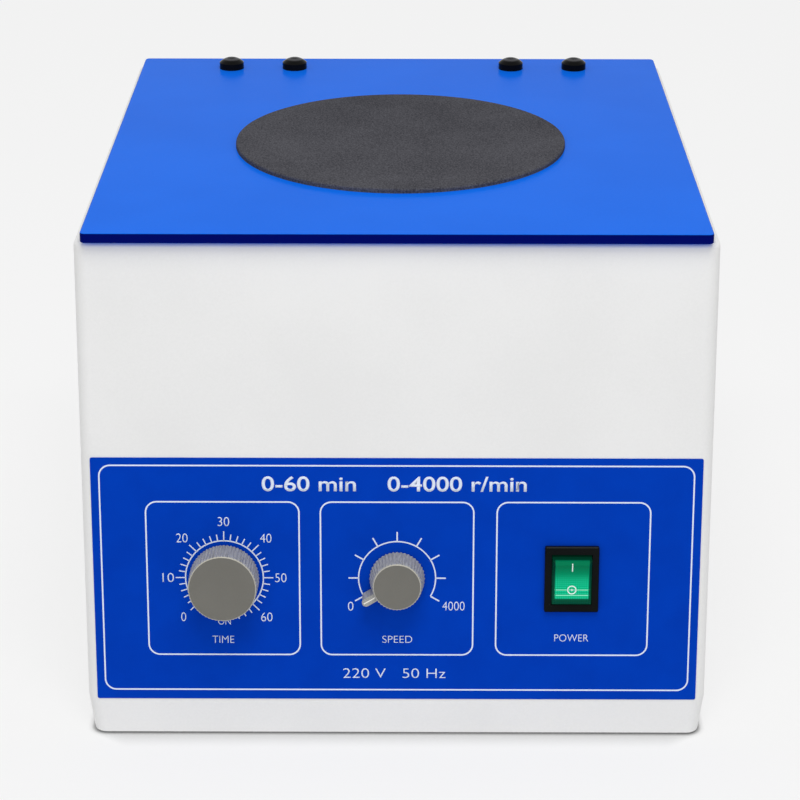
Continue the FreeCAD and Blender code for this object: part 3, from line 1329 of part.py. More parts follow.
def board_screws():
    screw = pan_screw(BOARD_SCREW_LENGTH, BOARD_SCREW_RADIUS, STANDOFF_RADIUS)
    return group([moved(screw, x, y, board_top()) for x, y in standoff_places()])


def on_board(place, size):
    """Block part on the board, at its place from the board's middle."""
    x, y = place
    return box(*size, BOARD_X + x, BOARD_Y + y, board_top())


def capacitors():
    half = CAPACITOR_PITCH / 2
    can = cylinder(CAPACITOR_RADIUS, CAPACITOR_HEIGHT)
    return [moved(can, BOARD_X + CAPACITOR_X, BOARD_Y + CAPACITOR_Y + y, board_top())
            for y in (-half, half)]


def terminal_strip():
    """Block with a row of round wells for its clamp screws."""
    x, y = STRIP_PLACE
    deep = TERMINAL_STRIP[2] / 2
    well = moved(cylinder(TERMINAL_CELL_RADIUS, deep), BOARD_X + x, BOARD_Y + y,
                 board_top() + deep)
    first = -(TERMINAL_CELLS - 1) / 2
    wells = [moved(well, (first + i) * TERMINAL_CELL_PITCH) for i in range(TERMINAL_CELLS)]
    return on_board(STRIP_PLACE, TERMINAL_STRIP).cut(wells)


def board_components():
    """Two smoothing capacitors, a relay, a transformer and the terminal strip."""
    return group(capacitors() + [on_board(RELAY_PLACE, RELAY),
                                 on_board(TRANSFORMER_PLACE, TRANSFORMER), terminal_strip()])


def heat_sink():
    """Finned aluminium block that cools the speed control's power switch."""
    base = box(HEAT_SINK_BASE, HEAT_SINK_RUN, HEAT_SINK_HEIGHT)
    pitch = (HEAT_SINK_RUN - HEAT_SINK_FIN) / (HEAT_SINK_FINS - 1)
    first = (HEAT_SINK_FIN - HEAT_SINK_RUN) / 2
    fins = [box(HEAT_SINK_FIN_LENGTH, HEAT_SINK_FIN, HEAT_SINK_HEIGHT,
                -HEAT_SINK_FIN_LENGTH / 2, first + i * pitch) for i in range(HEAT_SINK_FINS)]
    x = BOARD_X + BOARD_WIDTH / 2 - HEAT_SINK_INSET
    return moved(fused([base] + fins), x, BOARD_Y + HEAT_SINK_Y, board_top())


# --- the whole part ------------------------------------------------------------------------
PIECES = [cabinet_shell, rear_cover, rear_cover_screws, base_tray, tray_screws, rubber_feet,
          foot_screws, chamber_bowl, lid_gasket, shaft_boot, motor_can, motor_lower_bell,
          motor_upper_bell, motor_bearings, motor_stator, carbon_brushes, motor_plate,
          motor_screws, motor_dampers, damper_screws, hinge_fixed_leaves, hinge_pins,
          hinge_screws, panel_overlay, timer_case, timer_nut, speed_control, speed_nut,
          switch_housing, switch_terminals, power_inlet, inlet_pins, inlet_screws, fuse_holder,
          control_board, board_standoffs, board_screws, board_components, heat_sink,
          lid_plate, lid_pad, hinge_moving_leaves, lid_bolts, lid_bolt_caps,
          rotor_head, tube_sleeves, rotor_washer, rotor_nut, spindle, motor_armature,
          commutator, timer_knob, timer_shaft, speed_knob, speed_shaft, rocker]


def footprint_middle(shapes):
    """Middle of the whole part's bounding box, on the bench."""
    bounds = group(list(shapes)).BoundBox
    return Vector((bounds.XMin + bounds.XMax) / 2, (bounds.YMin + bounds.YMax) / 2, 0)


def main():
    os.makedirs("parts", exist_ok=True)
    shapes = {piece.__name__: piece() for piece in PIECES}
    origin = footprint_middle(shapes.values())
    for name, shape in shapes.items():
        shape.translate(-origin)
        shape.exportStep(os.path.join("parts", name + ".step"))
    print("origin moved by", tuple(-origin))


if __name__ == "__main__":
    main()
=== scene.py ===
"""Bench-top tube centrifuge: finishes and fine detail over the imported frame.

Lengths are in metres. X runs to the right, Y to the back and Z up from the bench.
"""
import json
import logging
import math
from collections.abc import Callable, Iterator
from contextlib import contextmanager
from dataclasses import dataclass, field
from enum import Enum

import bmesh
import bpy
from mathutils import Matrix, Vector


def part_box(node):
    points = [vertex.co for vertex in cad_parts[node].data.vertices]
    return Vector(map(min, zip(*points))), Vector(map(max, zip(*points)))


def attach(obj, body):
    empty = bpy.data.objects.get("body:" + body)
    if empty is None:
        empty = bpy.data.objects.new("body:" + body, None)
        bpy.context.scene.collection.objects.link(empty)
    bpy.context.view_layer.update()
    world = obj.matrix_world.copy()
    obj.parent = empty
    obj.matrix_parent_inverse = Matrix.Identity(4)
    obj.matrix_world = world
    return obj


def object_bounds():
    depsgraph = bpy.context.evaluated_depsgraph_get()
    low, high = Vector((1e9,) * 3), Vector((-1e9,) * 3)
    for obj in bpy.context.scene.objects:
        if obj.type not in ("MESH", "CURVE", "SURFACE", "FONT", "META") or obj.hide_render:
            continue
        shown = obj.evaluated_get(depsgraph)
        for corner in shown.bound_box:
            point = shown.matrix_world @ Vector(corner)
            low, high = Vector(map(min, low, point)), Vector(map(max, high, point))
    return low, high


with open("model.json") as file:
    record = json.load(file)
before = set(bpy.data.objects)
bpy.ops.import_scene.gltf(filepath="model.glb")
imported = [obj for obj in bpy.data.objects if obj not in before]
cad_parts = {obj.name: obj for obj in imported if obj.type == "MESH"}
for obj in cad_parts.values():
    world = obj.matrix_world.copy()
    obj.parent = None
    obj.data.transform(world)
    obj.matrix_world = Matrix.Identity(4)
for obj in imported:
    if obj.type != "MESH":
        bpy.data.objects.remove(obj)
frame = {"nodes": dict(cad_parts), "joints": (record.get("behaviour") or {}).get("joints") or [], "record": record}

LOG = logging.getLogger("centrifuge")
CAD_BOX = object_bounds()
MM = 0.001
Rgb = tuple[float, float, float]
Span = tuple[float, float]

# Middles of the three controls, across the panel.
TIMER_X = -81.3 * MM
SPEED_X = 0.3 * MM
SWITCH_X = 82.7 * MM

# Shared by every finish.
COAT_ROUGHNESS = 0.08
BUMP_REACH = 0.1 * MM
NOISE_SPAN = (0.3, 0.7)
CLOUD_SCALE = 0.02


# --- modelling ---------------------------------------------------------------------------
CORNER_STEPS = 10
FEWEST_STEPS = 6
STEP_DEGREES = 4
WELD = 1e-6


def clear_selection() -> None:
    """Leave no object selected."""
    bpy.ops.object.select_all(action="DESELECT")


def activate(*objects: bpy.types.Object) -> None:
    """Select only these objects and make the first one active.

    Args:
        objects: Objects that the next operator acts on.
    """
    clear_selection()
    for obj in objects:
        obj.select_set(True)
    bpy.context.view_layer.objects.active = objects[0]


@contextmanager
def editing(obj: bpy.types.Object, select: str = "SELECT") -> Iterator[None]:
    """Edit one object's mesh, and come back to object mode.

    Args:
        obj: Object to edit.
        select: Action for what is selected at the start.
    """
    activate(obj)
    bpy.ops.object.mode_set(mode="EDIT")
    bpy.ops.mesh.select_mode(type="VERT")
    bpy.ops.mesh.select_all(action=select)
    yield
    bpy.ops.object.mode_set(mode="OBJECT")


def select_vertices(obj: bpy.types.Object, test: Callable[[Vector], bool]) -> None:
    """Select the vertices of the edited mesh that pass a test on their place.

    Args:
        obj: Object in edit mode.
        test: Tells from a vertex's place whether it is wanted.
    """
    mesh = bmesh.from_edit_mesh(obj.data)
    for vertex in mesh.verts:
        vertex.select = test(vertex.co)
    mesh.select_flush(True)
    bmesh.update_edit_mesh(obj.data)


def place(obj: bpy.types.Object, matrix: Matrix) -> None:
    """Move a mesh by a matrix and leave its object at the origin.

    Args:
        obj: Object to move.
        matrix: Place and turn to put into the mesh.
    """
    obj.matrix_world = matrix @ obj.matrix_world
    activate(obj)
    bpy.ops.object.transform_apply(location=True, rotation=True, scale=True)


def plate(width: float, height: float, x: float = 0.0, y: float = 0.0) -> bpy.types.Object:
    """Flat rectangle in the XY plane.

    Args:
        width: Size along X.
        height: Size along Y.
        x: Middle along X.
        y: Middle along Y.

    Returns:
        The new object.
    """
    clear_selection()
    bpy.ops.mesh.primitive_plane_add(size=1.0, location=(x, y, 0.0))
    obj = bpy.context.object
    obj.scale = (width, height, 1.0)
    bpy.ops.object.transform_apply(location=True, rotation=True, scale=True)
    return obj


def outlined_plate(width: float, height: float, radius: float, line: float,
                   x: float, y: float) -> bpy.types.Object:
    """Rounded rectangular outline drawn with a line.

    Args:
        width: Size along X, outside.
        height: Size along Y, outside.
        radius: Corner radius.
        line: Width of the line.
        x: Middle along X.
        y: Middle along Y.

    Returns:
        The new object.
    """
    obj = plate(width, height, x, y)
    with editing(obj):
        bpy.ops.mesh.bevel(offset=radius, affect="VERTICES", segments=CORNER_STEPS)
        bpy.ops.mesh.select_all(action="SELECT")
        bpy.ops.mesh.inset(thickness=line, depth=0.0)
        bpy.ops.mesh.delete(type="FACE")
    return obj


def arc(inner: float, outer: float, start: float, sweep: float) -> bpy.types.Object:
    """Arc of a ring in the XY plane, round the origin.

    Args:
        inner: Inner radius.
        outer: Outer radius.
        start: Angle where it starts, in degrees from +X.
        sweep: Angle that it covers, in degrees.

    Returns:
        The new object.
    """
    obj = plate(outer - inner, outer - inner, (inner + outer) / 2)
    with editing(obj, "DESELECT"):
        select_vertices(obj, lambda place_: place_.y < 0)
        bpy.ops.mesh.delete(type="VERT")
        bpy.ops.mesh.select_all(action="SELECT")
        bpy.ops.transform.translate(value=(0, -(outer - inner) / 2, 0))
        bpy.ops.mesh.spin(steps=max(FEWEST_STEPS, int(abs(sweep) / STEP_DEGREES)),
                          angle=math.radians(sweep), center=(0, 0, 0), axis=(0, 0, -1))
        bpy.ops.mesh.select_all(action="SELECT")
        bpy.ops.mesh.remove_doubles(threshold=WELD)
    place(obj, Matrix.Rotation(math.radians(start), 4, "Z"))
    return obj


def copied(obj: bpy.types.Object, matrix: Matrix) -> bpy.types.Object:
    """Copy of an object with its own mesh, moved by a matrix.

    Args:
        obj: Object to copy.
        matrix: Place of the copy, against the original's.

    Returns:
        The copy.
    """
    activate(obj)
    bpy.ops.object.duplicate()
    copy = bpy.context.object
    place(copy, matrix)
    return copy


def lettering(text: str, height: float, x: float, y: float, width: float = 0.0,
              bold: float = 0.0) -> bpy.types.Object:
    """Words or numbers as a flat mesh, centred on a point.

    Args:
        text: What it says.
        height: Height of the letters.
        x: Middle along X.
        y: Middle along Y.
        width: Width of the whole, or 0 to keep the letters' own proportions.
        bold: Share of the height that thickens the strokes.

    Returns:
        The new object.
    """
    clear_selection()
    bpy.ops.object.text_add(location=(0, 0, 0))
    obj = bpy.context.object
    obj.data.body = text
    obj.data.offset = bold
    bpy.ops.object.convert(target="MESH")
    obj = bpy.context.object
    low = Vector([min(v.co[i] for v in obj.data.vertices) for i in range(2)])
    high = Vector([max(v.co[i] for v in obj.data.vertices) for i in range(2)])
    size = high - low
    scale_y = height / size.y
    scale_x = width / size.x if width else scale_y
    shift = Matrix.Translation(Vector((*(-(low + high) / 2), 0.0)))
    place(obj, Matrix.Translation((x, y, 0)) @ Matrix.Diagonal((scale_x, scale_y, 1, 1)) @ shift)
    return obj


def joined(objects: list[bpy.types.Object]) -> bpy.types.Object:
    """One object made of several.

    Args:
        objects: Objects to join.

    Returns:
        The joined object.
    """
    activate(*objects)
    bpy.ops.object.join()
    return bpy.context.object


def thicken(obj: bpy.types.Object, along: Vector) -> None:
    """Turn flat faces into closed slabs.

    Args:
        obj: Object with flat faces.
        along: How far, and which way, the new faces stand off.
    """
    with editing(obj):
        bpy.ops.mesh.extrude_region_move(TRANSFORM_OT_translate={"value": along})
        bpy.ops.mesh.select_all(action="SELECT")
        bpy.ops.mesh.normals_make_consistent(inside=False)


# --- shader helpers ----------------------------------------------------------------------
class Sheet:
    """Nodes of one material or node group, with short calls to add and link them."""

    def __init__(self, tree: bpy.types.NodeTree) -> None:
        """Work on a node tree."""
        self.tree = tree

    def add(self, kind: str, settings: dict | None = None, **inputs: object) -> bpy.types.Node:
        """Add a node.

        Args:
            kind: Blender's name for the node.
            settings: Properties of the node.
            inputs: Values or sockets for its inputs, with spaces as underscores.

        Returns:
            The node.
        """
        node = self.tree.nodes.new(kind)
        for name, value in (settings or {}).items():
            setattr(node, name, value)
        for name, value in inputs.items():
            self.feed(node, name.replace("_", " "), value)
        return node

    def feed(self, node: bpy.types.Node, name: str | int, value: object) -> None:
        """Give an input a value, or link a socket to it.

        Args:
            node: Node with the input.
            name: Name or number of the input.
            value: Number, colour or vector, or an output socket.
        """
        if isinstance(value, bpy.types.NodeSocket):
            self.tree.links.new(value, node.inputs[name])
        else:
            if isinstance(value, tuple) and node.inputs[name].type == "RGBA":
                value = (*value, 1.0) if len(value) == 3 else value
            node.inputs[name].default_value = value

    def math(self, operation: str, first: object, second: object = 0.0) -> bpy.types.NodeSocket:
        """Add a Math node and give its result."""
        node = self.add("ShaderNodeMath", {"operation": operation})
        self.feed(node, 0, first)
        self.feed(node, 1, second)
        return node.outputs[0]

    def mix(self, share: object, low: object, high: object) -> bpy.types.NodeSocket:
        """Mix two colours by a share and give the result."""
        node = self.add("ShaderNodeMix", {"data_type": "RGBA"})
        self.feed(node, 0, share)
        self.feed(node, 6, low)
        self.feed(node, 7, high)
        return node.outputs[2]

    def ramp(self, value: object, low: float, high: float, start: float = 0.0,
             end: float = 1.0) -> bpy.types.NodeSocket:
        """Map a range of values to another and give the result."""
        node = self.add("ShaderNodeMapRange", {"interpolation_type": "SMOOTHSTEP"}, Value=value)
        for name, number in (("From Min", low), ("From Max", high), ("To Min", start),
                             ("To Max", end)):
            self.feed(node, name, number)
        return node.outputs[0]

    def place(self, matrix: Matrix | None = None, scale: Rgb = (1, 1, 1)) -> bpy.types.NodeSocket:
        """Object coordinates, moved into a frame of their own.

        Args:
            matrix: Frame whose own coordinates are wanted, or None for the object's.
            scale: Stretch along each axis.

        Returns:
            The mapped coordinates.
        """
        source = self.add("ShaderNodeTexCoord").outputs["Object"]
        if matrix is not None:
            back = matrix.inverted()
            source = self.add("ShaderNodeMapping", Vector=source, Location=tuple(back.translation),
                              Rotation=tuple(back.to_euler())).outputs[0]
        return self.add("ShaderNodeMapping", Vector=source, Scale=scale).outputs[0]

    def axes(self, vector: bpy.types.NodeSocket) -> list[bpy.types.NodeSocket]:
        """Give a vector's X, Y and Z."""
        return list(self.add("ShaderNodeSeparateXYZ", Vector=vector).outputs)


def effect_group(name: str, inputs: dict[str, str], outputs: dict[str, str],
                 fill: Callable[[Sheet, list, bpy.types.Node], None]) -> bpy.types.NodeTree:
    """Node group that is built once and then used by every material that wants it.

    Args:
        name: Name of the group.
        inputs: Name and kind of each input.
        outputs: Name and kind of each output.
        fill: Adds the group's nodes between its inputs and its output node.

    Returns:
        The group.
    """
    if name in bpy.data.node_groups:
        return bpy.data.node_groups[name]
    group = bpy.data.node_groups.new(name, "ShaderNodeTree")
    for way, sockets in (("INPUT", inputs), ("OUTPUT", outputs)):
        for title, kind in sockets.items():
            group.interface.new_socket(title, in_out=way, socket_type="NodeSocket" + kind)
    sheet = Sheet(group)
    fill(sheet, list(sheet.add("NodeGroupInput").outputs), sheet.add("NodeGroupOutput"))
    return group


def grain_group() -> bpy.types.NodeTree:
    """Fine grain over slow clouds of tone: colour, roughness and height.

    Returns:
        The group.
    """
    def fill(sheet: Sheet, given: list, result: bpy.types.Node) -> None:
        """Add the two noises and spread them over the outputs."""
        vector, scale, low, high, smooth, rough, cloud = given[:7]
        fine = sheet.add("ShaderNodeTexNoise", Vector=vector, Scale=scale, Detail=3.0).outputs[0]
        slow = sheet.add("ShaderNodeTexNoise", Vector=vector,
                         Scale=sheet.math("MULTIPLY", scale, CLOUD_SCALE),
                         Detail=2.0).outputs[0]
        share = sheet.add("ShaderNodeMix", {"data_type": "FLOAT"})
        sheet.feed(share, 0, cloud)
        sheet.feed(share, 2, fine)
        sheet.feed(share, 3, slow)
        spread = sheet.ramp(share.outputs[0], *NOISE_SPAN)
        sheet.feed(result, 0, sheet.mix(spread, low, high))
        level = sheet.add("ShaderNodeMapRange", Value=spread)
        sheet.feed(level, 3, smooth)
        sheet.feed(level, 4, rough)
        sheet.feed(result, 1, level.outputs[0])
        sheet.feed(result, 2, fine)

    return effect_group("surface_grain",
                        {"Vector": "Vector", "Scale": "Float", "Low": "Color", "High": "Color",
                         "Smooth": "Float", "Rough": "Float", "Cloud": "Float"},
                        {"Color": "Color", "Roughness": "Float", "Height": "Float"}, fill)


def lathe_group() -> bpy.types.NodeTree:
    """Coordinates that only change with the distance from an axis and along it.

    Returns:
        The group.
    """
    def fill(sheet: Sheet, given: list, result: bpy.types.Node) -> None:
        """Swap X and Y for the distance from the axis."""
        x, y, z = sheet.axes(given[0])
        flat = sheet.add("ShaderNodeCombineXYZ", X=x, Y=y)
        radius = sheet.add("ShaderNodeVectorMath", {"operation": "LENGTH"})
        sheet.feed(radius, 0, flat.outputs[0])
        rings = sheet.add("ShaderNodeCombineXYZ", X=radius.outputs["Value"], Z=z)
        sheet.feed(result, 0, rings.outputs[0])

    return effect_group("lathe_rings", {"Vector": "Vector"}, {"Rings": "Vector"}, fill)


# --- finishes ----------------------------------------------------------------------------
class Grain(Enum):
    """How a surface was worked, which sets how its grain runs."""

    EVEN = "the same in every direction"
    BRUSHED = "straight lines along X"
    TURNED = "rings round an upright axis"


STRETCH = {Grain.EVEN: (1, 1, 1), Grain.BRUSHED: (0.02, 1, 1), Grain.TURNED: (1, 1, 1)}


@dataclass(frozen=True)
class Finish:
    """A surface with fine grain and slow changes of tone."""

    name: str
    low: Rgb
    high: Rgb
    roughness: Span = (0.4, 0.5)
    grain_size: float = 0.5 * MM
    cloud: float = 0.5
    bump: float = 0.1
    metallic: float = 0.0
    specular: float = 0.5
    coat: float = 0.0
    grain: Grain = Grain.EVEN
    axis: Span = (0.0, 0.0)

    def material(self) -> bpy.types.Material:
        """The finish's material, built the first time it is asked for.

        Returns:
            The material.
        """
        title = self.name + "_finish"
        if title not in bpy.data.materials:
            made = bpy.data.materials.new(title)
            made.use_nodes = True
            sheet = Sheet(made.node_tree)
            shader = made.node_tree.nodes["Principled BSDF"]
            shader.inputs["Metallic"].default_value = self.metallic
            shader.inputs["Specular IOR Level"].default_value = self.specular
            shader.inputs["Coat Weight"].default_value = self.coat
            shader.inputs["Coat Roughness"].default_value = COAT_ROUGHNESS
            self.dress(sheet, shader)
        return bpy.data.materials[title]

    def grained(self, sheet: Sheet, shader: bpy.types.Node) -> bpy.types.NodeSocket:
        """Add the grain, and link its roughness and bump to the shader.

        Args:
            sheet: Nodes of the material.
            shader: Its surface shader.

        Returns:
            The grain's colour.
        """
        vector = sheet.place(Matrix.Translation((*self.axis, 0.0)), STRETCH[self.grain])
        if self.grain is Grain.TURNED:
            rings = sheet.add("ShaderNodeGroup", {"node_tree": lathe_group()}, Vector=vector)
            vector = rings.outputs[0]
        grain = sheet.add("ShaderNodeGroup", {"node_tree": grain_group()}, Vector=vector,
                          Scale=1 / self.grain_size, Low=self.low, High=self.high,
                          Smooth=self.roughness[0], Rough=self.roughness[1], Cloud=self.cloud)
        bump = sheet.add("ShaderNodeBump", Strength=self.bump, Distance=BUMP_REACH,
                         Height=grain.outputs["Height"])
        sheet.feed(shader, "Roughness", grain.outputs["Roughness"])
        sheet.feed(shader, "Normal", bump.outputs[0])
        return grain.outputs["Color"]

    def dress(self, sheet: Sheet, shader: bpy.types.Node) -> None:
        """Link the finish's colour to the shader."""
        sheet.feed(shader, "Base Color", self.grained(sheet, shader))


@dataclass(frozen=True)
class LidFinish(Finish):
    """Gloss blue sheet with painted shade on its cut edges: they are coloured much darker than its faces."""

    # Painted shade: colour that stands in for the shade on the lid's cut edges.
    painted_edge_lighting: Rgb = (0.0, 0.003, 0.13)
    heights: Span = (0.0, 0.0)
    below_top: Span = (0.4 * MM, 0.1 * MM)
    above_foot: Span = (0.12 * MM, 0.03 * MM)

    def dress(self, sheet: Sheet, shader: bpy.types.Node) -> None:
        """Paint shade on what lies between the under face and the upper face."""
        low, high = self.heights
        height = sheet.axes(sheet.place())[2]
        top = sheet.ramp(height, *(high - depth for depth in self.below_top))
        foot = sheet.ramp(height, *(low + rise for rise in self.above_foot))
        face = sheet.math("MAXIMUM", top, foot)
        # Painted shade: the band between the faces gets the dark colour.
        sheet.feed(shader, "Base Color", sheet.mix(face, self.painted_edge_lighting, self.grained(sheet, shader)))


@dataclass(frozen=True)
class KnobFinish(Finish):
    """Moulded knob whose fluted side is paler than its face, partly as its own tone and partly as painted light
    from above, with a painted highlight where the side meets the face.
    """

    # Painted highlight where the side meets the face.
    painted_rim_highlight: Rgb = (0.52, 0.50, 0.42)
    # Paler tone of the side: partly its own, partly painted light from above.
    side: Rgb = (0.45, 0.45, 0.425)
    # Darker tone of the streaks of noise on the side.
    dark_streak: Rgb = (0.29, 0.29, 0.275)
    where: Matrix = field(default_factory=Matrix)
    face_height: float = 0.0
    face_depths: Span = (0.12 * MM, 0.02 * MM)
    rim_depths: Span = (0.6 * MM, 0.3 * MM)
    streak_scale: float = 2200.0
    streak_stretch: Rgb = (1, 1, 0.05)

    def dress(self, sheet: Sheet, shader: bpy.types.Node) -> None:
        """Mix the side's paler tone, partly painted light, in below the knob's face, and a painted highlight where
        they meet.
        """
        height = sheet.axes(sheet.place(self.where))[2]
        face = sheet.ramp(height, *(self.face_height - depth for depth in self.face_depths))
        rim_highlight_mask = sheet.ramp(height, *(self.face_height - depth for depth in self.rim_depths))
        tone = self.grained(sheet, shader)
        streaks = sheet.add("ShaderNodeTexNoise",
                            Vector=sheet.place(self.where, self.streak_stretch),
                            Scale=self.streak_scale, Detail=2.0).outputs[0]
        pale = sheet.mix(sheet.ramp(streaks, *NOISE_SPAN), self.dark_streak, self.side)
        # Painted highlight where the side meets the face, over the side's streaked tone.
        painted_edge_lighting = sheet.mix(rim_highlight_mask, pale, self.painted_rim_highlight)
        sheet.feed(shader, "Base Color", sheet.mix(face, painted_edge_lighting, tone))


@dataclass(frozen=True)
class LensFinish(Finish):
    """See-through green plastic with a grid of prisms moulded in its back, painted shade along its sides and ends,
    and a painted glow: it gives off light of its own though it is no lamp.
    """

    # Painted shade: colour of the gaps along the rocker's sides, foot and head.
    painted_gap_shade: Rgb = (0.0, 0.022, 0.011)
    glow: Rgb = (0.03, 0.80, 0.46)
    where: Matrix = field(default_factory=Matrix)
    pitch: float = 1.05 * MM
    dot_reach: Span = (0.12, 0.40)
    dot_share: float = 0.75
    brighter: Span = (9 * MM, -3 * MM)
    dotted: Span = (4.5 * MM, -1 * MM)
    sides: Span = (7.9 * MM, 8.2 * MM)
    foot: Span = (-8.3 * MM, -9.3 * MM)
    head: Span = (10.55 * MM, 10.85 * MM)
    painted_shade_share: float = 0.9
    # Painted glow: the lens gives off light of its own, though it is no lamp.
    emission: float = 0.25

    def dress(self, sheet: Sheet, shader: bpy.types.Node) -> None:
        """Lay the grid of prisms over a tone that brightens towards the foot, paint shade along the sides, foot
        and head, and give the colour off as a painted glow.
        """
        vector = sheet.place(self.where)
        across, up, _ = sheet.axes(vector)
        cells = sheet.add("ShaderNodeTexVoronoi", {"feature": "F1", "voronoi_dimensions": "2D"},
                          Vector=vector, Scale=1 / self.pitch, Randomness=0.0)
        dots = sheet.ramp(cells.outputs["Distance"], *self.dot_reach, 1.0, 0.0)
        body = sheet.mix(sheet.ramp(up, *self.brighter), self.low, self.high)
        grid = sheet.math("MULTIPLY", dots, sheet.ramp(up, *self.dotted))
        lit = sheet.mix(sheet.math("MULTIPLY", grid, self.dot_share), body, self.glow)
        # Painted shade in the gaps along the sides, the foot and the head.
        side = sheet.ramp(sheet.math("ABSOLUTE", across), *self.sides)
        ends = sheet.math("MAXIMUM", sheet.ramp(up, *self.foot), sheet.ramp(up, *self.head))
        painted_edge_lighting = sheet.math("MULTIPLY", sheet.math("MAXIMUM", side, ends), self.painted_shade_share)
        colour = sheet.mix(painted_edge_lighting, lit, self.painted_gap_shade)
        self.grained(sheet, shader)
        sheet.feed(shader, "Base Color", colour)
        # Painted glow: the colour is also given off as light.
        sheet.feed(shader, "Emission Color", colour)
        shader.inputs["Emission Strength"].default_value = self.emission


@dataclass(frozen=True)
class CapFinish(Finish):
    """Black moulded dome with a painted highlight: a paler ring round its crown and a paler spot on top of it."""

    # Painted highlight: colour of the ring and of the spot on the crown.
    ring: Rgb = (0.075, 0.075, 0.08)
    ring_outer: Span = (0.86, 0.93)
    ring_inner: Span = (0.985, 0.95)
    crown: Span = (0.994, 0.999)
    crown_highlight_share: float = 0.8

    def dress(self, sheet: Sheet, shader: bpy.types.Node) -> None:
        """Paint the highlight ring where the dome starts to fall away, and a highlight spot on its crown."""
        slope = sheet.axes(sheet.add("ShaderNodeTexCoord").outputs["Normal"])[2]
        painted_ring_mask = sheet.math("MULTIPLY", sheet.ramp(slope, *self.ring_outer),
                          sheet.ramp(slope, *self.ring_inner))
        crown = sheet.ramp(slope, *self.crown, 0.0, self.crown_highlight_share)
        share = sheet.math("MAXIMUM", painted_ring_mask, crown)
        sheet.feed(shader, "Base Color", sheet.mix(share, self.grained(sheet, shader), self.ring))


